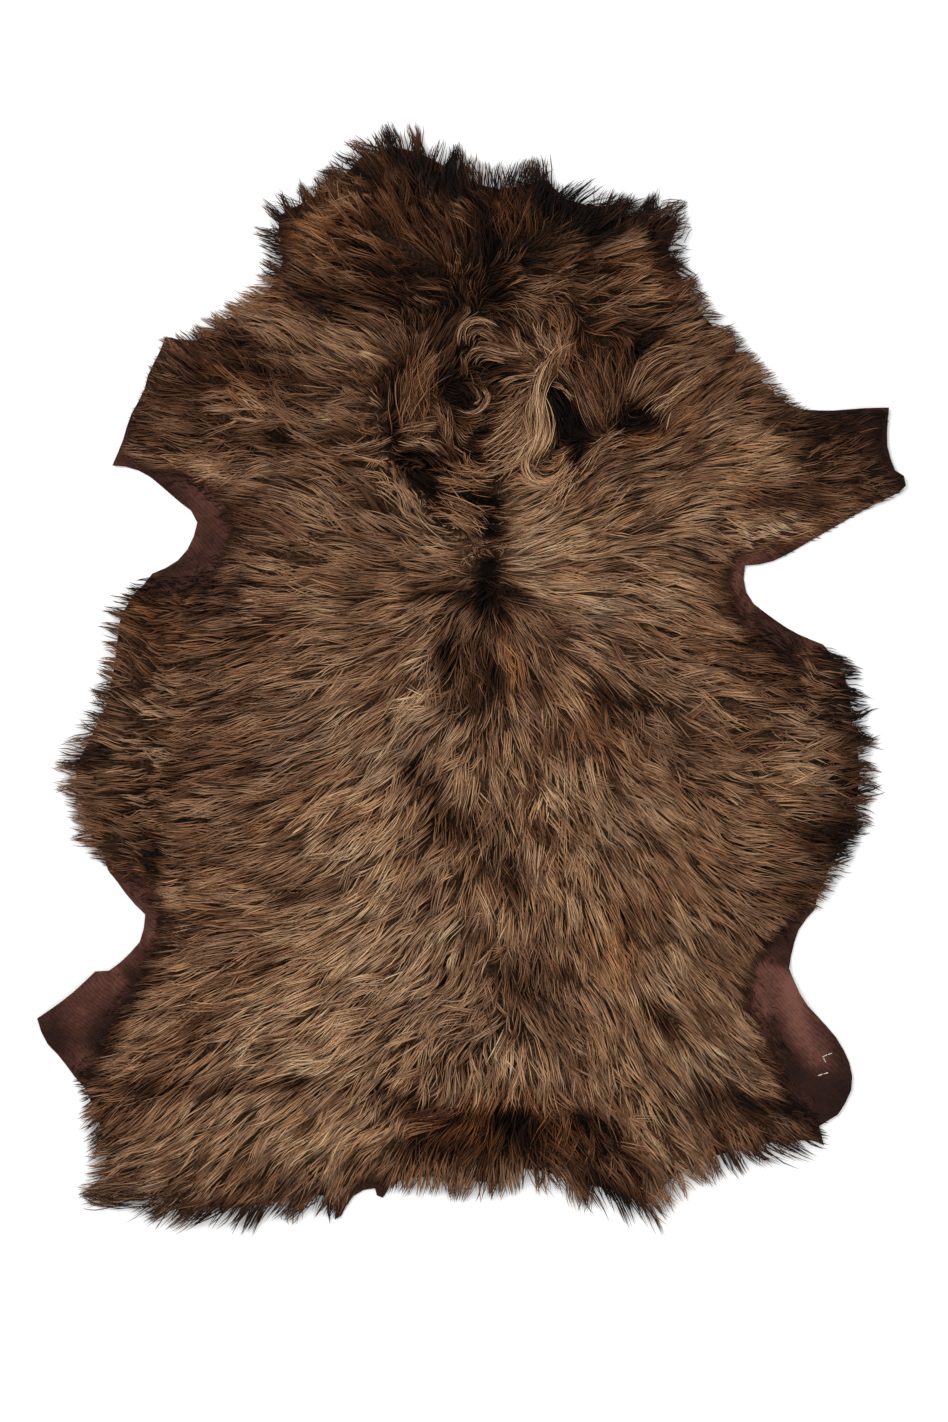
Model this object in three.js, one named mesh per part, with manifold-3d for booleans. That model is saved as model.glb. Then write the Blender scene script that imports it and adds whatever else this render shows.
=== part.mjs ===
// A shearling: one whole sheepskin with its long wool left on, laid out flat with the wool up.
// Millimetres, +Z up. +Y runs towards the neck and +X towards the right foreleg. The origin is on
// the surface that the hide lies on, under the middle of its footprint.
// Two solids: the tanned skin, and the wool on it as a lumpy slab with locks round its rim.
import * as THREE from "three";
import { mergeVertices } from "three/addons/utils/BufferGeometryUtils.js";
import Module from "manifold-3d";

const wasm = await Module();
wasm.setup();

// Driving sizes.
const SKIN_THICKNESS = 1.5;
const GAP = 0.32; // between the skin's wool side and the wool
const PILE = 21; // depth of the wool as it lies, on the sides of the body
const EDGE_STEP = 14; // spacing of points along a curved edge
const KEPT_SHARE = 0.9; // least share of the overhang that a point of the skin's edge keeps
const SKIN_GRID = 40; // spacing of the height points of the skin
const WOOL_GRID = 22; // spacing of the height points of the wool
const MARGIN = 40; // how far the height grids run past the outline
const UPPER_FLOOR = -20; // where the block under an upper surface ends, below everything
const LOWER_FLOOR = -30; // where the block under a lower surface ends, below that
const CUTTER_REACH = 100; // how far the outline's cutter runs up and down
const WELD = 1e-4; // how near each other two corners are one

// The wool's rim: how high it stands there, and how far in it reaches its full depth.
const WOOLLY_RIM = { height: 9, rise: 34 };
const BARE_RIM = { height: 2.6, rise: 62 };

// Locks that hang over the skin's edge. lip: how far the slab itself does, as a share of the
// overhang. lean: how much a lock follows the lie of the wool. longest: its greatest length, as a
// share of the overhang. past: how far beyond the slab it starts to narrow. clear: how far above
// the slab's underside it runs until there, give or take uneven.
const LOCK = {
  spacing: 11.5, width: 12.5, root: 10, lip: 0.4, height: 6.5, tip: 0.5, swayDegrees: 15, lean: 0.5,
  longest: 2.2, past: 2.3, clear: 2.2, uneven: 0.7,
};

// How locks differ from one to the next, as waves along the rim: each wave's step from lock to
// lock in radians, and the share of a lock's length, width and height that it changes. overrun:
// how far the mean lock runs, as a share of its way to the outline.
const VARIED = {
  swayStep: 2.4, lengthStep: 1.7, clearStep: 1.9, length: 0.12, width: 0.12, height: 0.1, overrun: 1.05,
};

// The outline as it shows from above, clockwise from the neck's left corner. Each stretch runs
// through its points to the first point of the next one, and corners lie where stretches meet.
// hang: how far the wool hangs over the skin's edge there; 0 where the cut edge of the skin shows.
// woolEnds: on such a bare stretch, the line where the wool stops.
const OUTLINE = [
  {
    name: "neck end, left",
    hang: 15,
    edge: [[-203, 482], [-171, 497], [-143, 514], [-121, 540]],
  },
  {
    name: "neck end, crest",
    hang: 17,
    edge: [[-121, 540], [-86, 553], [-61, 552], [-31, 541], [1, 521], [29, 512]],
  },
  {
    name: "neck end, right",
    hang: 16,
    edge: [[29, 512], [59, 517], [82, 520], [104, 499], [134, 494], [169, 483]],
  },
  {
    name: "neck, right side",
    hang: 12,
    edge: [[212, 484], [219, 457], [209, 432], [224, 407]],
  },
  {
    name: "right shoulder",
    hang: 10,
    edge: [[231, 386], [254, 360], [279, 332], [299, 309], [319, 287]],
  },
  {
    name: "right foreleg, upper cut",
    hang: 0,
    edge: [[334, 275], [360, 274], [389, 276]],
    woolEnds: [[334, 270], [362, 268], [392, 267]],
  },
  {
    name: "right foreleg, end",
    hang: 0,
    edge: [[418, 277], [416, 252], [417, 234]],
    woolEnds: [[406, 262], [404, 243], [409, 226]],
  },
  {
    name: "right foreleg, knob",
    hang: 0,
    edge: [[424, 214], [434, 207], [434, 196]],
    woolEnds: [[417, 212], [425, 204]],
  },
  {
    name: "right armpit, foreleg side",
    hang: 0,
    edge: [[428, 192], [394, 175], [354, 152], [314, 129], [294, 121]],
    woolEnds: [[424, 197], [392, 182], [351, 160], [310, 139], [284, 132]],
  },
  {
    name: "right armpit, body side",
    hang: 0,
    edge: [[274, 119], [273, 102], [279, 85], [294, 72], [324, 52]],
    woolEnds: [[258, 122], [256, 100], [264, 78], [286, 62], [320, 44]],
  },
  {
    name: "right flank",
    hang: 12,
    edge: [
      [365, 35], [384, 14], [391, -13], [393, -38], [398, -63], [401, -88],
      [397, -118], [389, -146], [378, -173], [361, -203],
    ],
  },
  {
    name: "right hind notch",
    hang: 0,
    edge: [[344, -225], [329, -243], [322, -263]],
    woolEnds: [[338, -222], [316, -240], [303, -258]],
  },
  {
    name: "right hind flap",
    hang: 0,
    edge: [
      [318, -284], [332, -315], [354, -340], [367, -356], [379, -380], [381, -400], [376, -416],
    ],
    woolEnds: [
      [284, -280], [280, -305], [293, -334], [307, -366], [317, -396], [331, -420], [348, -434],
    ],
  },
  {
    name: "right thigh",
    hang: 16,
    edge: [[359, -442], [367, -455]],
  },
  {
    name: "rump, right",
    hang: 22,
    edge: [
      [372, -467], [347, -478], [319, -478], [289, -483], [259, -490], [229, -503], [204, -521],
    ],
  },
  {
    name: "tail end, right",
    hang: 20,
    edge: [[185, -554], [159, -536], [129, -523], [99, -518], [74, -506]],
  },
  {
    name: "tail end, middle",
    hang: 14,
    edge: [[54, -500], [34, -513], [9, -511], [-21, -510], [-46, -505]],
  },
  {
    name: "tail, right tag",
    hang: 0,
    edge: [[-81, -501], [-86, -511], [-90, -514], [-94, -512]],
    woolEnds: [[-80, -494], [-92, -494]],
  },
  {
    name: "tail, left tag",
    hang: 0,
    edge: [[-96, -504], [-108, -506], [-121, -515], [-128, -528], [-133, -537], [-137, -535]],
    woolEnds: [[-106, -496], [-122, -504], [-130, -514]],
  },
  {
    name: "rump, left",
    hang: 23,
    edge: [
      [-139, -524], [-171, -534], [-206, -542], [-236, -547], [-266, -546], [-301, -540],
      [-331, -531], [-361, -523],
    ],
  },
  {
    name: "left thigh",
    hang: 13,
    edge: [[-393, -511], [-380, -490], [-378, -470], [-383, -448], [-391, -418]],
  },
  {
    name: "left hind flap, lower cut",
    hang: 0,
    edge: [[-397, -392], [-411, -373], [-426, -356]],
    woolEnds: [[-388, -392], [-373, -362]],
  },
  {
    name: "left hind flap, upper cut",
    hang: 0,
    edge: [[-434, -334], [-411, -318], [-396, -306]],
    woolEnds: [[-361, -336], [-347, -316]],
  },
  {
    name: "left hind notch, lower cut",
    hang: 0,
    edge: [[-376, -287], [-364, -287], [-351, -278], [-336, -263], [-329, -252]],
    woolEnds: [[-334, -300], [-321, -279], [-312, -258]],
  },
  {
    name: "left hind notch, upper cut",
    hang: 0,
    edge: [[-326, -230], [-341, -215], [-359, -191]],
    woolEnds: [[-309, -232], [-330, -211], [-354, -186]],
  },
  {
    name: "left flank, lower",
    hang: 14,
    edge: [[-373, -175], [-391, -160], [-395, -140], [-400, -116]],
  },
  {
    name: "left flank, upper",
    hang: 14,
    edge: [
      [-414, -88], [-403, -66], [-391, -43], [-379, -18], [-372, 12], [-368, 42], [-366, 62],
      [-358, 84], [-341, 102],
    ],
  },
  {
    name: "left armpit, body side",
    hang: 0,
    edge: [[-319, 111], [-299, 120], [-286, 132], [-278, 147]],
    woolEnds: [[-316, 106], [-290, 106], [-264, 114], [-246, 136]],
  },
  {
    name: "left armpit, foreleg side",
    hang: 0,
    edge: [[-274, 162], [-281, 175], [-291, 182], [-306, 195], [-323, 209], [-341, 217]],
    woolEnds: [[-240, 160], [-250, 180], [-280, 196], [-308, 213], [-334, 226], [-347, 228]],
  },
  {
    name: "left foreleg",
    hang: 0,
    edge: [[-359, 219], [-349, 242], [-341, 268], [-328, 292], [-323, 310], [-312, 332]],
    woolEnds: [[-347, 240], [-335, 268], [-323, 292], [-316, 312], [-305, 332]],
  },
  {
    name: "left foreleg, upper cut",
    hang: 0,
    edge: [[-306, 347], [-292, 345]],
    woolEnds: [[-302, 339], [-290, 340]],
  },
  {
    name: "left shoulder",
    hang: 11,
    edge: [[-278, 350], [-264, 362], [-246, 377], [-221, 393]],
  },
  {
    name: "neck, left side",
    hang: 12,
    edge: [[-204, 410], [-200, 427], [-204, 447], [-206, 467]],
  },
];

// Where the wool is deeper or shorter than PILE: depth there, and how far round that holds.
const PILE_SPOTS = [
  { name: "neck crest", at: [-60, 470], reach: 150, depth: 30 },
  { name: "neck, right", at: [120, 420], reach: 110, depth: 27 },
  { name: "withers", at: [20, 270], reach: 90, depth: 26 },
  { name: "left foreleg", at: [-335, 275], reach: 70, depth: 8 },
  { name: "right foreleg", at: [400, 225], reach: 85, depth: 6 },
  { name: "left armpit", at: [-262, 150], reach: 60, depth: 8 },
  { name: "right armpit", at: [285, 100], reach: 55, depth: 9 },
  { name: "left belly line", at: [-312, 20], reach: 38, depth: 12 },
  { name: "left belly line, low", at: [-318, -175], reach: 42, depth: 8 },
  { name: "right belly line", at: [325, 5], reach: 45, depth: 12 },
  { name: "right hind leg", at: [300, -330], reach: 60, depth: 9 },
  { name: "rump", at: [30, -430], reach: 190, depth: 27 },
  { name: "left rump corner", at: [-300, -470], reach: 120, depth: 27 },
];

// Dips in the wool, where it parts or whorls: from and to, depth, and half width.
const PARTINGS = [
  { name: "neck, middle", from: [10, 470], to: [15, 370], depth: 9, reach: 26 },
  { name: "neck fold", from: [-170, 396], to: [30, 388], depth: 7, reach: 24 },
  { name: "right whorl", from: [95, 290], to: [115, 240], depth: 15, reach: 24 },
  { name: "right shoulder whorl", from: [165, 268], to: [190, 300], depth: 9, reach: 22 },
  { name: "left whorl", from: [-45, 290], to: [-20, 245], depth: 12, reach: 24 },
  { name: "withers", from: [5, 185], to: [20, 92], depth: 8, reach: 24 },
  { name: "back", from: [10, 60], to: [0, 0], depth: 7, reach: 24 },
  { name: "loin", from: [-55, -60], to: [-50, -110], depth: 6, reach: 26 },
  { name: "left belly line", from: [-300, 95], to: [-322, -200], depth: 8, reach: 20 },
  { name: "right belly line", from: [300, 55], to: [345, -10], depth: 6, reach: 22 },
  { name: "rump crease", from: [-300, -404], to: [-60, -404], depth: 6, reach: 18 },
  { name: "tail root", from: [-60, -452], to: [120, -440], depth: 12, reach: 22 },
];

// Soft waves in which the skin lifts off the surface: from and to, height, and half width.
const WAVES = [
  { name: "neck fold", from: [-150, 425], to: [150, 415], height: 5, reach: 42 },
  { name: "right foreleg", from: [405, 275], to: [425, 205], height: 5, reach: 40 },
  { name: "left foreleg", from: [-345, 240], to: [-330, 300], height: 4, reach: 38 },
  { name: "right hind flap", from: [318, -330], to: [352, -410], height: 6, reach: 34 },
  { name: "left hind flap", from: [-425, -335], to: [-365, -300], height: 6, reach: 38 },
  { name: "rump", from: [-60, -415], to: [130, -408], height: 7, reach: 44 },
  { name: "left flank", from: [-390, -60], to: [-372, 30], height: 4, reach: 40 },
];

// Soft lumps all over the wool, as crossing waves: length, heading, height, and where each starts.
const LUMPS = [
  { length: 178, headingDegrees: 24, height: 1.5, start: 0.4 },
  { length: 131, headingDegrees: 103, height: 1.4, start: 2.1 },
  { length: 104, headingDegrees: 161, height: 1.3, start: 3.7 },
  { length: 83, headingDegrees: 62, height: 1.1, start: 5.2 },
  { length: 71, headingDegrees: 128, height: 0.9, start: 1.3 },
];
const LIE_CENTRE = new THREE.Vector2(15, 130); // the wool lies outwards from here, at the withers

const vectors = (points) => points.map(([x, y]) => new THREE.Vector2(x, y));

const smoothStep = (t) => {
  const u = THREE.MathUtils.clamp(t, 0, 1);
  return u * u * (3 - 2 * u);
};

// Distance from a point to the stretch of line between two others.
function distanceToLine(point, from, to) {
  const line = to.clone().sub(from);
  const share = point.clone().sub(from).dot(line) / Math.max(line.lengthSq(), 1e-9);
  return point.distanceTo(from.clone().addScaledVector(line, THREE.MathUtils.clamp(share, 0, 1)));
}

// The sum of soft rounded ridges, one for each row of a table, at a point.
function ridges(rows, size, point) {
  return rows.reduce((sum, row) => {
    const away = distanceToLine(point, ...vectors([row.from, row.to]));
    return sum + row[size] * (1 - smoothStep(away / row.reach));
  }, 0);
}

// Points about EDGE_STEP apart on a smooth curve through a stretch's points, without its last one.
function curvePoints(points) {
  const curve = new THREE.SplineCurve(vectors(points));
  const count = Math.max(points.length - 1, Math.round(curve.getLength() / EDGE_STEP));
  return curve.getSpacedPoints(count).slice(0, -1);
}

// A closed outline from the stretches, each run on to the start of the next. Every point keeps the
// row that it came from.
function outlineFrom(rows, pointsOf) {
  return rows.flatMap((row, i) => {
    const next = pointsOf(rows[(i + 1) % rows.length])[0];
    return curvePoints([...pointsOf(row), next]).map((at) => ({ at, row }));
  });
}

// The outward direction at a point of a clockwise outline.
function outwards(outline, i) {
  const count = outline.length;
  const before = outline[(i + count - 1) % count].at;
  const after = outline[(i + 1) % count].at;
  const along = after.clone().sub(before).normalize();
  return new THREE.Vector2(-along.y, along.x);
}

// The mean overhang near a point of the outline, so that it fades from one stretch to the next.
function hangAt(outline, i) {
  const near = [-2, -1, 0, 1, 2].map((k) => outline[(i + k + outline.length) % outline.length]);
  return near.reduce((sum, { row }) => sum + row.hang, 0) / near.length;
}

const visible = outlineFrom(OUTLINE, (row) => row.edge);

// Distance from a point to the nearest side of an outline, and the row of that side.
function nearestSide(outline, point) {
  const nearest = { away: Infinity, row: outline[0].row };
  outline.forEach(({ at, row }, i) => {
    const away = distanceToLine(point, at, outline[(i + 1) % outline.length].at);
    if (away < nearest.away) Object.assign(nearest, { away, row });
  });
  return nearest;
}

// The skin's own edge lies inside the visible outline by the wool's overhang. Points that would
// fold over at a sharp tip are left out.
const skinEdge = visible
  .map(({ at, row }, i) => {
    const hang = row.hang ? hangAt(visible, i) : 0;
    return { at: at.clone().addScaledVector(outwards(visible, i), -hang), row, hang };
  })
  .filter(({ at, hang }) => nearestSide(visible, at).away > hang * KEPT_SHARE || !hang);

// The wool slab ends a little past the skin's edge, and at woolEnds where the skin shows.
const woolRows = OUTLINE.map((row) => {
  if (row.woolEnds) return { ...row, line: row.woolEnds };
  const own = skinEdge.map((point, i) => ({ ...point, out: outwards(skinEdge, i) }));
  const line = own
    .filter((point) => point.row === row)
    .map(({ at, out, hang }) => at.clone().addScaledVector(out, hang * LOCK.lip).toArray());
  return { ...row, line };
});
const woolEdge = outlineFrom(woolRows, (row) => row.line);

// How far the skin's underside is lifted off the surface.
const liftAt = (x, y) => ridges(WAVES, "height", new THREE.Vector2(x, y));
const skinTopAt = (x, y) => liftAt(x, y) + SKIN_THICKNESS;
const woolBottomAt = (x, y) => skinTopAt(x, y) + GAP;

// The wool's depth away from its rim.
function pileAt(point) {
  return PILE_SPOTS.reduce((depth, spot) => {
    const share = Math.exp(-((point.distanceTo(new THREE.Vector2(...spot.at)) / spot.reach) ** 2));
    return depth + (spot.depth - depth) * share;
  }, PILE);
}

function lumpsAt(point) {
  return LUMPS.reduce((sum, { length, headingDegrees, height, start }) => {
    const heading = THREE.MathUtils.degToRad(headingDegrees);
    const run = point.x * Math.cos(heading) + point.y * Math.sin(heading);
    return sum + height * Math.sin((2 * Math.PI * run) / length + start);
  }, 0);
}

// The wool's upper surface: low at its rim, full inside, lumpy, and dipped at the partings.
function woolTopAt(x, y) {
  const point = new THREE.Vector2(x, y);
  const { away, row } = nearestSide(woolEdge, point);
  const rim = row.hang ? WOOLLY_RIM : BARE_RIM;
  const full = pileAt(point) + lumpsAt(point) - ridges(PARTINGS, "depth", point);
  const low = Math.min(rim.height, full);
  const depth = low + (Math.max(full, low) - low) * smoothStep(away / rim.rise);
  return woolBottomAt(x, y) + Math.max(depth, BARE_RIM.height);
}

// A closed block whose upper side follows topAt on a grid, and whose lower side is flat at lowZ.
function heightBlock(step, lowZ, topAt) {
  const box = new THREE.Box2().setFromPoints(visible.map(({ at }) => at)).expandByScalar(MARGIN);
  const size = box.getSize(new THREE.Vector2());
  const across = Math.ceil(size.x / step);
  const along = Math.ceil(size.y / step);
  const positions = [];
  const faces = [];
  const top = (i, j) => j * (across + 1) + i;
  for (let j = 0; j <= along; j += 1) {
    for (let i = 0; i <= across; i += 1) {
      const x = box.min.x + (i * size.x) / across;
      const y = box.min.y + (j * size.y) / along;
      positions.push(x, y, topAt(x, y));
    }
  }
  for (let j = 0; j < along; j += 1) {
    for (let i = 0; i < across; i += 1) {
      const [a, b, c, d] = [top(i, j), top(i + 1, j), top(i + 1, j + 1), top(i, j + 1)];
      if ((i + j) % 2) faces.push(a, b, c, a, c, d);
      else faces.push(a, b, d, b, c, d);
    }
  }
  const rim = [
    ...Array.from({ length: across }, (_, i) => top(i, 0)),
    ...Array.from({ length: along }, (_, j) => top(across, j)),
    ...Array.from({ length: across }, (_, i) => top(across - i, along)),
    ...Array.from({ length: along }, (_, j) => top(0, along - j)),
  ];
  const firstLow = positions.length / 3;
  rim.forEach((v) => positions.push(positions[3 * v], positions[3 * v + 1], lowZ));
  const middle = positions.length / 3;
  positions.push(...box.getCenter(new THREE.Vector2()).toArray(), lowZ);
  rim.forEach((v, k) => {
    const next = (k + 1) % rim.length;
    const [low, lowNext] = [firstLow + k, firstLow + next];
    faces.push(v, low, lowNext, v, lowNext, rim[next], middle, lowNext, low);
  });
  return new THREE.BufferGeometry()
    .setAttribute("position", new THREE.Float32BufferAttribute(positions, 3))
    .setIndex(faces);
}

// A manifold-3d solid of a closed three.js geometry.
function solidOf(geometry) {
  const bare = geometry.clone();
  bare.deleteAttribute("normal");
  bare.deleteAttribute("uv");
  const { index, attributes } = mergeVertices(bare, WELD);
  const vertProperties = new Float32Array(attributes.position.array);
  return new wasm.Manifold(
    new wasm.Mesh({ numProp: 3, vertProperties, triVerts: new Uint32Array(index.array) }),
  );
}

function geometryOf(solid) {
  const { vertProperties, triVerts } = solid.getMesh();
  const geometry = new THREE.BufferGeometry()
    .setAttribute("position", new THREE.BufferAttribute(new Float32Array(vertProperties), 3))
    .setIndex(new THREE.BufferAttribute(new Uint32Array(triVerts), 1));
  geometry.computeVertexNormals();
  return geometry;
}

// What lies between two upper surfaces, within an outline.
function layer(outline, upper, lower) {
  const cutter = new THREE.ExtrudeGeometry(new THREE.Shape(outline.map(({ at }) => at)), {
    depth: 2 * CUTTER_REACH,
    bevelEnabled: false,
  }).translate(0, 0, -CUTTER_REACH);
  return solidOf(heightBlock(upper.step, UPPER_FLOOR, upper.topAt))
    .subtract(solidOf(heightBlock(lower.step, LOWER_FLOOR, lower.topAt)))
    .intersect(solidOf(cutter));
}

// One lock: three-sided, from its root inside the slab over the skin's edge to a tip on the floor.
function lockGeometry({ edge, way, length, lip, width, height, clear }) {
  const side = new THREE.Vector2(-way.y, way.x);
  const root = edge.clone().addScaledVector(way, -LOCK.root);
  const sill = edge.clone().addScaledVector(way, lip + LOCK.past);
  const tip = edge.clone().addScaledVector(way, length);
  const ring = (at) => {
    const left = at.clone().addScaledVector(side, width / 2);
    const right = at.clone().addScaledVector(side, -width / 2);
    const low = woolBottomAt(at.x, at.y) + clear;
    return [left.x, left.y, low, right.x, right.y, low, at.x, at.y, low + height];
  };
  const positions = [...ring(root), ...ring(sill), tip.x, tip.y, LOCK.tip];
  const rootFace = [0, 1, 2];
  const sideFaces = [0, 3, 1, 1, 3, 4, 1, 4, 2, 2, 4, 5, 2, 5, 0, 0, 5, 3];
  const tipFaces = [3, 6, 4, 4, 6, 5, 5, 6, 3];
  return new THREE.BufferGeometry()
    .setAttribute("position", new THREE.Float32BufferAttribute(positions, 3))
    .setIndex([...rootFace, ...sideFaces, ...tipFaces]);
}

// How far the visible outline is from a point, in a given direction.
function reachTo(outline, from, way) {
  return outline.reduce((best, { at }, i) => {
    const side = outline[(i + 1) % outline.length].at.clone().sub(at);
    const over = at.clone().sub(from);
    const turn = way.cross(side);
    const reach = over.cross(side) / turn;
    const share = over.cross(way) / turn;
    return reach > 0 && share >= 0 && share <= 1 ? Math.min(best, reach) : best;
  }, Infinity);
}

// The locks along every stretch where wool hangs over the skin's edge.
function rimLocks() {
  const locks = [];
  let travelled = 0;
  skinEdge.forEach(({ at, row, hang }, i) => {
    const next = skinEdge[(i + 1) % skinEdge.length].at;
    const span = at.distanceTo(next);
    for (; travelled < span; travelled += LOCK.spacing) {
      if (!row.hang) continue;
      const wave = Math.sin(locks.length * VARIED.swayStep);
      const lengthWave = Math.cos(locks.length * VARIED.lengthStep);
      const clearWave = Math.sin(locks.length * VARIED.clearStep);
      const edge = at.clone().lerp(next, travelled / span);
      const lie = edge.clone().sub(LIE_CENTRE).setLength(LOCK.lean);
      const way = outwards(skinEdge, i).add(lie).normalize();
      way.rotateAround(new THREE.Vector2(), THREE.MathUtils.degToRad(LOCK.swayDegrees * wave));
      const reach = Math.min(reachTo(visible, edge, way), hang * LOCK.longest);
      const length = reach * (VARIED.overrun + VARIED.length * lengthWave);
      const width = LOCK.width * (1 + VARIED.width * wave);
      const height = LOCK.height * (1 - VARIED.height * wave);
      const clear = LOCK.clear + LOCK.uneven * clearWave;
      const lip = hang * LOCK.lip;
      locks.push(lockGeometry({ edge, way, length, lip, width, height, clear }));
    }
    travelled -= span;
  });
  return locks;
}

function skin() {
  const solid = layer(
    skinEdge,
    { step: SKIN_GRID, topAt: skinTopAt },
    { step: SKIN_GRID, topAt: liftAt },
  );
  const leather = new THREE.MeshStandardMaterial({ color: 0x4f2c26, roughness: 0.62, metalness: 0 });
  const mesh = new THREE.Mesh(geometryOf(solid), leather);
  mesh.name = "skin";
  return mesh;
}

function fleece() {
  const slab = layer(
    woolEdge,
    { step: WOOL_GRID, topAt: woolTopAt },
    { step: SKIN_GRID, topAt: woolBottomAt },
  );
  const solid = rimLocks().reduce((made, lock) => made.add(solidOf(lock)), slab);
  const wool = new THREE.MeshStandardMaterial({ color: 0x6b4f3c, roughness: 0.92, metalness: 0 });
  const mesh = new THREE.Mesh(geometryOf(solid), wool);
  mesh.name = "fleece";
  return mesh;
}

const shearling = new THREE.Group();
shearling.add(skin(), fleece());

// The frame's origin is under the middle of the footprint.
const middle = new THREE.Box3().setFromObject(shearling, true).getCenter(new THREE.Vector3());
shearling.position.set(-middle.x, -middle.y, 0);

export default shearling;
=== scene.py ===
"""A shearling laid out flat, wool up: tanned skin, undercoat, long wool in locks, and its studio."""

import logging
import math
from collections.abc import Iterator
from contextlib import contextmanager
from dataclasses import dataclass, field, fields
from enum import Enum

import bpy
import numpy as np
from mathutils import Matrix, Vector
from mathutils.bvhtree import BVHTree


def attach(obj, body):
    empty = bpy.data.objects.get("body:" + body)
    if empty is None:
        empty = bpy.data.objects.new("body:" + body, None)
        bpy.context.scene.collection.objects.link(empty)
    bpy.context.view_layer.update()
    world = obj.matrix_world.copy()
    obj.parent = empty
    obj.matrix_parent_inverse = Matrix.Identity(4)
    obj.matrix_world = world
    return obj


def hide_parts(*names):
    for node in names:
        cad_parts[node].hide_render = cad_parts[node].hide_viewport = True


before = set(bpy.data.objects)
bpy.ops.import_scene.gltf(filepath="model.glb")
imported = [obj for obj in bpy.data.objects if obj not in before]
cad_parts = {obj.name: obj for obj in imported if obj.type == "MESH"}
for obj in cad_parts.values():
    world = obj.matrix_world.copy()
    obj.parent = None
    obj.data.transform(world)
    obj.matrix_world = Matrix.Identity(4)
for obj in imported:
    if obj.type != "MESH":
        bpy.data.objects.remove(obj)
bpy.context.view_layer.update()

log = logging.getLogger("shearling")

MM = 0.001
PICTURE_MM = (948.0, 1422.0)  # the picture shows the hide at one millimetre to the pixel
HIDE_MIDDLE_MM = (471.5, 682.0)  # where the frame's origin lies in it, from its left and top edges
UV_NAME = "OFBake"
# The attribute of marked tones: the leather's dye and the wool's tints, with painted highlight and painted
# shade among them.
TONE_AND_LIGHT_ATTRIBUTE = "tone_and_painted_light"
LOOK_FROM = 0.2  # a height above the whole hide

WAVES_IN_SCALE = 20  # bands of a wave texture to one unit of its place, at a scale of 1

Table = dict[str, tuple[float, ...]]
Stops = tuple[tuple[float, str], ...]  # places along a colour ramp, with sRGB hex colours
Line = tuple[tuple[float, float], ...]
Profile = tuple[tuple[float, ...], tuple[float, ...]]  # shares of a length, and what holds there
Range = tuple[float, float]


def on_hide(points: np.ndarray) -> np.ndarray:
    """Turns places in the picture into places on the floor.

    Args:
        points: Millimetres from the picture's left and top edges, one row each.

    Returns:
        Metres in the frame, x and y, one row each.
    """
    points = np.asarray(points, float)
    return (points - HIDE_MIDDLE_MM) * (MM, -MM)


def smooth_step(share: np.ndarray) -> np.ndarray:
    """Eases a share from 0 to 1."""
    share = np.clip(share, 0.0, 1.0)
    return share * share * (3.0 - 2.0 * share)


def linear(colour: str) -> tuple[float, float, float, float]:
    """Turns an sRGB hex colour into a linear one with full alpha.

    Args:
        colour: Such as "#6b4f3c".

    Returns:
        Red, green, blue and alpha.
    """
    parts = [int(colour[i : i + 2], 16) / 255 for i in (1, 3, 5)]
    red, green, blue = (p / 12.92 if p <= 0.04045 else ((p + 0.055) / 1.055) ** 2.4 for p in parts)
    return red, green, blue, 1.0


def add_node(
    tree: bpy.types.NodeTree,
    kind: str,
    settings: dict[str, object] | None = None,
    inputs: dict[str | int, object] | None = None,
) -> bpy.types.Node:
    """Adds a node with its settings, values and links.

    Args:
        tree: The material's node tree.
        kind: The node's type.
        settings: Its attributes.
        inputs: For each input, by name or number, a value or the output to link.

    Returns:
        The new node.
    """
    made = tree.nodes.new(kind)
    for name, value in (settings or {}).items():
        setattr(made, name, value)
    for name, value in (inputs or {}).items():
        if isinstance(value, bpy.types.NodeSocket):
            tree.links.new(value, made.inputs[name])
        else:
            made.inputs[name].default_value = value
    return made


def new_material(name: str) -> tuple[bpy.types.Material, bpy.types.NodeTree]:
    """Makes a material with nothing but its output node.

    Args:
        name: The material's name.

    Returns:
        The material and its tree.
    """
    made = bpy.data.materials.new(name)
    made.use_nodes = True
    made.node_tree.nodes.clear()
    add_node(made.node_tree, "ShaderNodeOutputMaterial")
    return made, made.node_tree


def set_ramp(ramp: bpy.types.ColorRamp, stops: Stops) -> None:
    """Gives a colour ramp its stops.

    Args:
        ramp: The colour ramp.
        stops: Its places and sRGB hex colours.
    """
    while len(ramp.elements) < len(stops):
        ramp.elements.new(1.0)
    for element, (at, colour) in zip(ramp.elements, stops):
        element.position = at
        element.color = linear(colour)


def finish_surface(tree: bpy.types.NodeTree, shader: bpy.types.Node) -> None:
    """Links a shader to the material's output."""
    output = next(n for n in tree.nodes if n.type == "OUTPUT_MATERIAL")
    tree.links.new(shader.outputs[0], output.inputs["Surface"])


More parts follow.
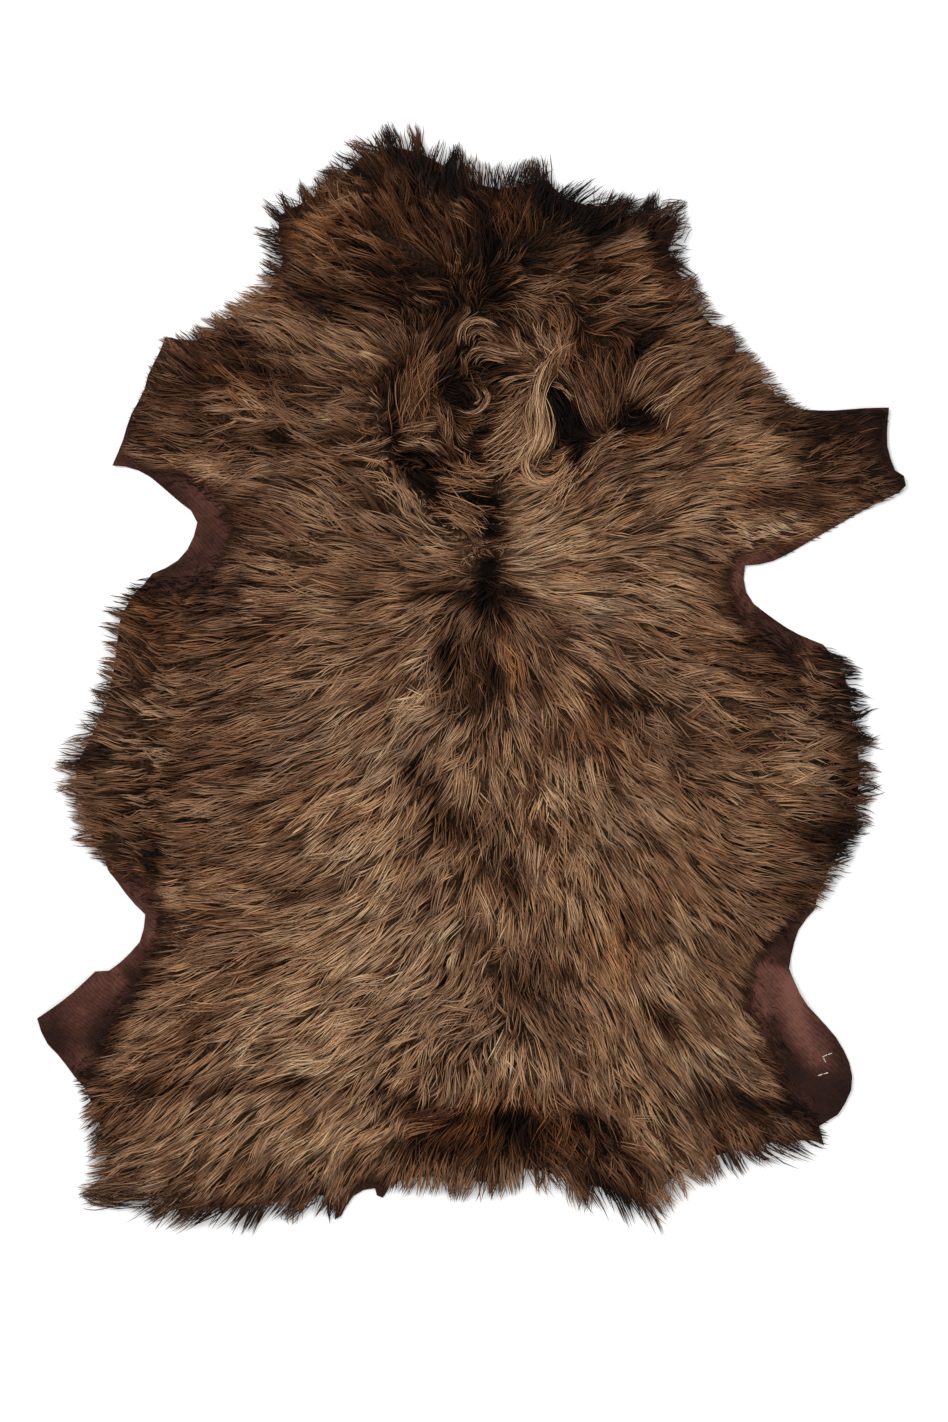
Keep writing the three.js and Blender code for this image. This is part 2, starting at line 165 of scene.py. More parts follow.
@dataclass(frozen=True)
class WoolFinish:
    """Undyed wool: a matt fibre with a faint gloss, near black at its root and tan at its tip.

    A strand's map holds its tone from left to right and its warmth upwards, so each lock keeps its
    own colour along its length.
    """

    name: str = "undyed_wool"
    roughness: float = 0.62
    ior: float = 1.55
    specular: float = 0.1
    neutral: Stops = (
        (0.0, "#030100"),
        (0.2, "#190d07"),
        (0.4, "#472f20"),
        (0.6, "#80634e"),
        (0.8, "#ae8f73"),
        (1.0, "#d8bf9c"),
    )
    rust: Stops = (
        (0.0, "#050201"),
        (0.2, "#241006"),
        (0.4, "#5c3318"),
        (0.6, "#945e38"),
        (0.8, "#c08a58"),
        (1.0, "#e2b07c"),
    )

    def make(self) -> bpy.types.Material:
        """Builds the material.

        Returns:
            The finished material.
        """
        material, tree = new_material(self.name)
        place = add_node(tree, "ShaderNodeUVMap", {"uv_map": UV_NAME})
        parts = add_node(tree, "ShaderNodeSeparateXYZ", inputs={0: place.outputs[0]})
        tones = []
        for stops in (self.neutral, self.rust):
            ramp = add_node(tree, "ShaderNodeValToRGB", inputs={0: parts.outputs["X"]})
            set_ramp(ramp.color_ramp, stops)
            tones.append(ramp.outputs[0])
        mixed = {0: parts.outputs["Y"], 6: tones[0], 7: tones[1]}
        colour = add_node(tree, "ShaderNodeMix", {"data_type": "RGBA"}, mixed)
        surface = {
            "Base Color": colour.outputs[2],
            "Roughness": self.roughness,
            "IOR": self.ior,
            "Specular IOR Level": self.specular,
        }
        finish_surface(tree, add_node(tree, "ShaderNodeBsdfPrincipled", inputs=surface))
        return material


@dataclass(frozen=True)
class UndercoatFinish:
    """The dense undercoat: matt, near black, in fine streaks. Its dark tone stands partly for painted shade
    deep between the locks, and it follows the wool's tints.
    """

    name: str = "wool_undercoat"
    tones: Stops = ((0.1, "#0a0604"), (0.4, "#281a11"), (0.7, "#503b2a"))
    streak_mm: float = 3.0
    roughness: float = 1.0
    specular: float = 0.05
    # How far the undercoat follows the wool's tints, their painted shade in creases, folds, partings and
    # pockets included.
    follows: float = 1.05

    def make(self) -> bpy.types.Material:
        """Builds the material.

        Returns:
            The finished material.
        """
        material, tree = new_material(self.name)
        place = add_node(tree, "ShaderNodeTexCoord").outputs["Object"]
        fine = {"Vector": place, "Scale": 1.0 / (self.streak_mm * MM), "Detail": 4.0}
        streaks = add_node(tree, "ShaderNodeTexNoise", inputs=fine).outputs["Fac"]
        marked_tone_and_light = add_node(tree, "ShaderNodeAttribute", {"attribute_name": TONE_AND_LIGHT_ATTRIBUTE}).outputs["Fac"]
        sums = {0: marked_tone_and_light, 1: self.follows, 2: streaks}
        toned = add_node(tree, "ShaderNodeMath", {"operation": "MULTIPLY_ADD"}, sums)
        ramp = add_node(tree, "ShaderNodeValToRGB", inputs={0: toned.outputs[0]})
        set_ramp(ramp.color_ramp, self.tones)
        surface = {
            "Base Color": ramp.outputs[0],
            "Roughness": self.roughness,
            "Specular IOR Level": self.specular,
        }
        finish_surface(tree, add_node(tree, "ShaderNodeBsdfPrincipled", inputs=surface))
        return material


@dataclass(frozen=True)
class LeatherFinish:
    """Drum-dyed oxblood leather: a suede-like face with a soft sheen, blotched where it took the dye. Its
    marked tones add a painted highlight along the right flap's swell, and painted shade in its folds and by
    the wool.
    """

    name: str = "tanned_oxblood_leather"
    tones: Stops = ((0.16, "#1c0f0b"), (0.38, "#2c1711"), (0.58, "#43271f"), (0.86, "#664137"))
    blotch_mm: float = 42.0
    fleck_mm: float = 5.0
    fleck_share: float = 0.35
    # How much the marked tones count: dye patches, with painted sheen and painted shade.
    tone_and_light_share: float = 0.34
    grain_mm: float = 1.8
    grain_strength: float = 0.35
    grain_deep_mm: float = 0.3
    crease_mm: float = 14.0
    crease_strength: float = 0.6
    crease_deep_mm: float = 2.0
    roughness: float = 0.66
    specular: float = 0.07
    rib_mm: float = 2.6
    # Painted sheen along the leather's fine ribs.
    rib_sheen: float = 0.09

    def make(self) -> bpy.types.Material:
        """Builds the material.

        Returns:
            The finished material.
        """
        material, tree = new_material(self.name)
        place = add_node(tree, "ShaderNodeTexCoord").outputs["Object"]
        surface = {
            "Base Color": self.colour(tree, place),
            "Roughness": self.roughness,
            "Normal": self.relief(tree, place),
            "Specular IOR Level": self.specular,
        }
        finish_surface(tree, add_node(tree, "ShaderNodeBsdfPrincipled", inputs=surface))
        return material

    def colour(self, tree: bpy.types.NodeTree, place: bpy.types.NodeSocket) -> bpy.types.NodeSocket:
        """Adds the blotches, the flecks, the faint ribs with their painted sheen, and the marked tones:
        dye, with painted highlight and painted shade.

        Args:
            tree: The material's nodes.
            place: The socket that gives the place.

        Returns:
            The socket that gives the colour.
        """
        noises = []
        for lump_mm, detail in ((self.blotch_mm, 3.0), (self.fleck_mm, 5.0)):
            lumps = {"Vector": place, "Scale": 1.0 / (lump_mm * MM), "Detail": detail}
            noises.append(add_node(tree, "ShaderNodeTexNoise", inputs=lumps).outputs["Fac"])
        mixed = {0: self.fleck_share, 2: noises[0], 3: noises[1]}
        blend = add_node(tree, "ShaderNodeMix", {"data_type": "FLOAT"}, mixed)
        # The fine ribs carry painted sheen lines.
        scale = math.tau / WAVES_IN_SCALE / (self.rib_mm * MM)
        waves = {"Vector": place, "Scale": scale, "Distortion": 5.0, "Detail": 3.0}
        ribs = add_node(tree, "ShaderNodeTexWave", {"bands_direction": "DIAGONAL"}, waves)
        marked_tone_and_light = add_node(tree, "ShaderNodeAttribute", {"attribute_name": TONE_AND_LIGHT_ATTRIBUTE})
        toned = blend
        for value, share in ((ribs, self.rib_sheen), (marked_tone_and_light, self.tone_and_light_share)):
            sums = {0: value.outputs["Fac"], 1: share, 2: toned.outputs[0]}
            toned = add_node(tree, "ShaderNodeMath", {"operation": "MULTIPLY_ADD"}, sums)
        ramp = add_node(tree, "ShaderNodeValToRGB", inputs={0: toned.outputs[0]})
        set_ramp(ramp.color_ramp, self.tones)
        return ramp.outputs[0]

    def relief(self, tree: bpy.types.NodeTree, place: bpy.types.NodeSocket) -> bpy.types.NodeSocket:
        """Adds the fine grain and the soft creases.

        Args:
            tree: The material's nodes.
            place: The socket that gives the place.

        Returns:
            The socket that gives the surface's direction.
        """
        cells = {"Vector": place, "Scale": 1.0 / (self.grain_mm * MM)}
        grain = add_node(tree, "ShaderNodeTexVoronoi", {"feature": "DISTANCE_TO_EDGE"}, cells)
        folds = {
            "Vector": place,
            "Scale": 1.0 / (self.crease_mm * MM),
            "Detail": 6.0,
            "Distortion": 1.2,
        }
        fine = {
            "Strength": self.grain_strength,
            "Distance": self.grain_deep_mm * MM,
            "Height": grain.outputs[0],
        }
        soft = {
            "Strength": self.crease_strength,
            "Distance": self.crease_deep_mm * MM,
            "Height": add_node(tree, "ShaderNodeTexNoise", inputs=folds).outputs["Fac"],
            "Normal": add_node(tree, "ShaderNodeBump", inputs=fine).outputs[0],
        }
        return add_node(tree, "ShaderNodeBump", inputs=soft).outputs[0]


@dataclass(frozen=True)
class ThreadFinish:
    """White tacking cotton: matt, with painted shade in the grooves between the turns of its twist."""

    name: str = "white_cotton_thread"
    tones: Stops = ((0.2, "#b9b1a4"), (0.6, "#e8e3da"))
    twist_mm: float = 1.1
    roughness: float = 0.8

    def make(self) -> bpy.types.Material:
        """Builds the material.

        Returns:
            The finished material.
        """
        material, tree = new_material(self.name)
        place = add_node(tree, "ShaderNodeTexCoord").outputs["Object"]
        # Darker bands along the thread: painted shade in the grooves of its twist.
        scale = 1.0 / WAVES_IN_SCALE / (self.twist_mm * MM)
        turns = {"Vector": place, "Scale": scale, "Distortion": 2.0}
        twist = add_node(tree, "ShaderNodeTexWave", inputs=turns)
        ramp = add_node(tree, "ShaderNodeValToRGB", inputs={0: twist.outputs["Fac"]})
        set_ramp(ramp.color_ramp, self.tones)
        surface = {"Base Color": ramp.outputs[0], "Roughness": self.roughness}
        finish_surface(tree, add_node(tree, "ShaderNodeBsdfPrincipled", inputs=surface))
        return material


@dataclass(frozen=True)
class PaperFinish:
    """White background paper: matt, very faintly uneven."""

    name: str = "white_paper"
    tones: Stops = ((0.3, "#f4f4f4"), (0.7, "#f7f7f7"))
    scale: float = 3.0
    roughness: float = 0.95

    def make(self) -> bpy.types.Material:
        """Builds the material.

        Returns:
            The finished material.
        """
        material, tree = new_material(self.name)
        place = add_node(tree, "ShaderNodeTexCoord").outputs["Object"]
        noise = add_node(tree, "ShaderNodeTexNoise", inputs={"Vector": place, "Scale": self.scale})
        ramp = add_node(tree, "ShaderNodeValToRGB", inputs={0: noise.outputs["Fac"]})
        set_ramp(ramp.color_ramp, self.tones)
        surface = {"Base Color": ramp.outputs[0], "Roughness": self.roughness}
        finish_surface(tree, add_node(tree, "ShaderNodeBsdfPrincipled", inputs=surface))
        return material


# The places in the tables below are in picture millimetres, from the picture's left and top edges.
# The lie of the wool: places in picture millimetres, each with the heading there in degrees, 0 to
# the right and 90 towards the neck.
LIES: dict[str, tuple[tuple[float, float, float], ...]] = {
    "neck": (
        (300, 205, 145), (288, 262, 158), (345, 165, 128), (392, 148, 112), (445, 165, 100),
        (500, 185, 94), (560, 190, 62), (610, 205, 42), (675, 212, 26), (686, 255, 14), (335, 230, 140),
        (400, 220, 128), (452, 214, 118), (420, 252, 138), (350, 265, 152), (482, 245, 98), (520, 225, 70),
        (570, 250, 30), (635, 265, 24), (545, 290, 22), (600, 305, 20), (430, 292, 172), (365, 300, 166),
        (270, 305, 164), (505, 300, 20), (470, 305, 140), (680, 310, 24),
    ),
    "left shoulder": (
        (185, 362, 138), (237, 393, 160), (195, 400, 170), (150, 440, 172), (237, 467, 186),
        (300, 372, 150), (345, 340, 160), (300, 425, 174), (279, 488, 166), (305, 520, 152),
        (350, 405, 165), (355, 450, 168), (342, 490, 152), (342, 545, 162), (270, 560, 172),
        (342, 590, 178), (200, 583, 186), (390, 350, 152), (230, 510, 172),
    ),
    "withers": (
        (405, 395, 88), (402, 502, 118), (414, 522, 144), (436, 536, 168), (378, 480, 138),
        (375, 525, 148), (448, 505, 160), (425, 485, 150), (440, 562, 178), (400, 565, 175),
        (455, 592, 190), (470, 620, 238), (478, 560, 170), (512, 540, 26), (520, 560, 8), (520, 592, -4),
        (512, 620, -58), (490, 640, -94), (455, 668, -78), (418, 640, -154), (420, 705, -140),
        (500, 470, 24), (525, 495, 24), (575, 470, 24), (560, 520, 26), (600, 540, 15), (582, 500, 38),
    ),
    "right shoulder": (
        (700, 335, 26), (735, 380, 28), (690, 400, 36), (765, 418, 16), (665, 450, 26), (720, 440, 20),
        (765, 455, 8), (810, 430, 6), (845, 462, 12), (878, 445, 18), (870, 490, -8), (820, 505, -10),
        (755, 516, -12), (712, 494, -8), (681, 507, 18), (630, 472, 14), (640, 510, 12), (605, 568, 6),
        (690, 567, -14), (714, 592, -18), (650, 600, -14), (740, 560, -6), (600, 330, 16), (650, 335, 18),
    ),
    "right side": (
        (600, 602, -6), (560, 585, 4), (562, 622, -14), (600, 660, -32), (640, 640, -20), (582, 680, -48),
        (690, 657, -14), (755, 655, -10), (798, 644, -38), (825, 680, -14), (850, 700, -6),
        (580, 761, -68), (582, 843, -66), (625, 741, -45), (645, 802, -47), (668, 755, -34),
        (703, 822, -42), (712, 740, -24), (744, 802, -8), (750, 720, -10), (786, 761, 16), (830, 745, 4),
        (855, 800, -4), (825, 850, -8), (764, 863, -6), (723, 884, -36), (682, 904, -50), (642, 904, -60),
        (764, 906, -20), (805, 885, -8), (735, 925, -42),
    ),
    "back": (
        (540, 655, -56), (520, 690, -68), (592, 705, -54), (480, 695, -84), (465, 725, -102),
        (500, 745, -88), (545, 750, -74), (450, 740, -124), (430, 790, -120), (520, 800, -82),
        (560, 805, -70), (480, 850, -98), (430, 860, -120), (520, 870, -90), (565, 880, -74),
        (440, 910, -118),
    ),
    "left side": (
        (350, 622, -174), (300, 645, -166), (330, 700, -156), (378, 740, -140), (380, 680, -152),
        (250, 700, -164), (200, 700, -172), (150, 722, 178), (125, 706, 158), (136, 655, 140),
        (105, 640, 168), (175, 640, 184), (277, 755, -163), (212, 788, -170), (342, 799, -150),
        (277, 864, -156), (212, 842, -168), (108, 770, 178), (118, 842, 160), (240, 915, -172),
        (375, 830, -138), (385, 885, -130), (300, 905, -158), (75, 765, 178),
    ),
    "left rump": (
        (198, 905, -178), (290, 940, -168), (358, 940, -146), (395, 940, -130), (152, 985, -170),
        (267, 1006, -160), (336, 1018, -146), (392, 1020, -132), (221, 1041, -146), (129, 1052, -155),
        (290, 1064, -154), (358, 1072, -126), (221, 1110, -136), (165, 1112, -138), (112, 1130, -146),
        (106, 1160, -150), (198, 1155, -130), (267, 1132, -144), (336, 1130, -126), (313, 1155, -148),
        (267, 1190, -122), (320, 1196, -106), (221, 1201, -132), (152, 1190, -140), (92, 1190, -158),
        (95, 1085, -158), (370, 1132, -150), (385, 1165, -130), (340, 1180, -112),
    ),
    "rump": (
        (507, 933, -92), (423, 945, -126), (383, 966, -148), (460, 965, -110), (423, 996, -156),
        (468, 1017, -150), (490, 1005, -100), (549, 1027, -62), (592, 1006, -56), (613, 940, -66),
        (560, 950, -76), (507, 1062, -90), (434, 1060, -115), (392, 1045, -125), (560, 1065, -72),
        (470, 1085, -98),
    ),
    "tail": (
        (507, 1133, -98), (465, 1143, -126), (425, 1155, -110), (549, 1143, -68), (385, 1108, -122),
        (423, 1122, -172), (590, 1122, -60), (613, 1150, -52), (613, 1180, -56), (570, 1168, -74),
        (507, 1178, -92), (444, 1178, -96), (400, 1172, -106),
    ),
    "right rump": (
        (623, 985, -72), (688, 965, -56), (732, 1008, -50), (775, 1063, -38), (764, 1088, -28),
        (688, 1052, -52), (645, 1095, -56), (602, 1052, -66), (667, 1139, -50), (732, 1139, -60),
        (797, 1139, -32), (830, 1142, -24), (705, 1162, -64), (628, 1195, -64), (650, 1215, -62),
        (812, 1117, -34), (640, 1030, -62), (745, 955, -50),
    ),
}

# Locks that curl along a line of their own, root first. Each has its width in millimetres, its
# number of strands, tone, warmth and the line.
CURLS: dict[str, tuple[float, int, float, float, Line]] = {
    "pale lock": (5, 64, 0.3, 0.36, (
        (558, 352), (548, 366), (541, 382), (538, 400), (541, 420), (540, 438), (532, 454), (526, 466),
    )),
    "pale lock, top": (6, 30, 0.1, 0.32, ((572, 338), (562, 348), (553, 360), (545, 372), (540, 386))),
    "pale lock, left": (5, 34, 0.22, 0.36, (
        (546, 374), (536, 388), (528, 404), (527, 422), (530, 440), (524, 456),
    )),
    "pale lock, rim": (3.5, 34, 0.26, 0.42, (
        (541, 396), (545, 410), (549, 424), (548, 438), (541, 450), (534, 462),
    )),
    "hook": (3.5, 40, 0.3, 0.48, (
        (535, 440), (527, 454), (524, 467), (529, 478), (540, 484), (553, 482), (563, 473), (569, 460),
    )),
    "hook, inner": (3, 20, 0.1, 0.6, ((536, 470), (548, 472), (560, 464), (566, 452))),
    "feather, lowest": (9, 40, 0.2, 0.36, ((492, 478), (508, 470), (522, 456), (534, 440))),
    "feather, low": (9, 44, 0.16, 0.34, ((480, 464), (500, 456), (518, 442), (532, 426))),
    "feather, middle": (8, 40, 0.12, 0.3, ((474, 446), (494, 438), (514, 424), (530, 408))),
    "feather, high": (7, 34, 0.08, 0.3, ((486, 430), (504, 420), (518, 408), (530, 394))),
    "feather, highest": (6, 28, 0.04, 0.32, ((494, 412), (508, 404), (520, 394), (532, 382))),
    "high arch": (4, 26, 0.12, 0.26, (
        (460, 348), (460, 336), (465, 326), (476, 320), (488, 325), (498, 334),
    )),
    "high arch, inner": (3, 18, 0.04, 0.26, ((466, 350), (468, 338), (476, 331), (488, 336), (498, 346))),
    "low arch": (3, 22, 0.16, 0.28, (
        (466, 372), (467, 360), (472, 352), (484, 349), (498, 354), (512, 357), (526, 356),
    )),
    "low arch, under": (3, 16, 0.04, 0.26, ((474, 368), (480, 358), (494, 360), (508, 364))),
    "ring": (2.5, 18, 0.12, 0.26, ((455, 407), (462, 414), (474, 415), (485, 407), (489, 396), (483, 387))),
    "ring, inner": (2.5, 12, 0.02, 0.24, ((470, 384), (478, 392), (480, 402), (472, 407))),
    "cross lock": (2.5, 20, 0.14, 0.28, ((498, 386), (508, 379), (524, 378), (542, 375))),
    "cross lock, low": (3, 18, 0.06, 0.28, ((502, 396), (512, 390), (526, 386), (538, 382))),
    "neck fall": (7, 30, 0.12, 0.24, ((534, 322), (538, 336), (546, 348), (552, 360))),
    "neck fall, left": (6, 26, 0.08, 0.24, ((514, 326), (518, 340), (526, 352), (540, 360))),
    "neck fall, right": (6, 26, 0.1, 0.34, ((556, 326), (558, 338), (560, 350), (552, 362))),
    "comma, hairs": (3, 16, 0.1, 0.24, ((548, 384), (558, 387), (566, 393), (573, 402))),
    "comma, left": (5, 30, -0.06, 0.24, ((556, 364), (568, 376), (579, 392), (587, 412), (597, 432))),
    "comma, middle": (8, 34, -0.12, 0.5, ((580, 352), (590, 372), (598, 396), (601, 420))),
    "comma, right": (9, 36, -0.1, 0.46, ((604, 350), (608, 376), (612, 400), (606, 428))),
    "comma, rim": (7, 26, -0.12, 0.4, ((626, 352), (622, 376), (620, 398), (614, 422))),
    "shoulder arch": (5, 28, 0.1, 0.26, ((625, 404), (632, 384), (642, 367), (658, 356), (680, 352))),
    "shoulder sweep": (8, 36, 0.16, 0.28, ((650, 420), (662, 406), (680, 394), (704, 378))),
    "under sweep": (7, 34, 0.12, 0.28, ((574, 474), (590, 456), (606, 442), (628, 434))),
    "pocket rim": (4, 20, 0.08, 0.75, ((620, 438), (634, 442), (650, 442), (664, 432))),
    "left rise": (18, 54, -0.04, 0.56, ((414, 440), (415, 412), (419, 386), (430, 360))),
    "left rise, rim": (7, 26, 0.06, 0.4, ((436, 398), (443, 414), (450, 430), (447, 444))),
    "left fall": (5, 22, 0.08, 0.24, ((394, 436), (376, 446), (352, 452), (330, 450))),
    "low hook": (4.5, 24, 0.08, 0.3, ((396, 436), (410, 429), (424, 427), (440, 424))),
    "low hook, under": (4, 20, 0.04, 0.24, ((398, 438), (412, 441), (426, 444), (442, 455))),
    "golden horn": (7, 30, 0.12, 0.52, ((496, 488), (476, 486), (456, 484), (436, 480))),
    "golden tuft": (8, 26, 0.12, 0.56, ((456, 456), (462, 466), (474, 472), (490, 474))),
    "golden fan": (12, 36, 0.12, 0.46, ((432, 500), (452, 508), (474, 520), (490, 528))),
    "rump corner": (9, 46, -0.08, 0.24, ((150, 1176), (128, 1184), (110, 1189), (92, 1192), (75, 1194))),
    "rump corner, under": (8, 36, -0.22, 0.24, (
        (160, 1194), (136, 1200), (114, 1201), (95, 1200), (82, 1197),
    )),
    "bottom rim": (10, 44, -0.16, 0.24, ((204, 1176), (188, 1190), (172, 1203), (158, 1212), (146, 1218))),
    "bottom rim, right": (9, 36, -0.16, 0.24, (
        (318, 1172), (308, 1188), (299, 1202), (290, 1213), (284, 1222),
    )),
    "neck corner": (8, 50, -0.24, 0.24, ((644, 232), (656, 222), (668, 212), (678, 205), (687, 199))),
    "neck corner, low": (7, 36, -0.28, 0.24, ((650, 242), (664, 236), (676, 231), (685, 226), (692, 224))),
    "withers sweep": (10, 40, 0.18, 0.34, ((536, 508), (552, 494), (566, 480), (580, 468))),
}

# Soft patches where the wool is longer or shorter: two ends, reach, length.
LENGTHS: Table = {
    "neck": (330, 220, 640, 240, 70, 58),
    "whorls": (440, 360, 620, 420, 60, 56),
    "right foreleg": (836, 445, 895, 460, 42, 24),
    "left foreleg": (150, 380, 130, 450, 34, 22),
    "left armpit": (205, 500, 200, 560, 34, 15),
    "right armpit": (755, 540, 760, 605, 28, 16),
    "left belly line": (175, 600, 165, 880, 30, 22),
    "right belly line": (780, 620, 800, 690, 30, 22),
    "right hind leg": (770, 960, 800, 1090, 40, 20),
    "rump": (120, 1150, 780, 1150, 60, 58),
}
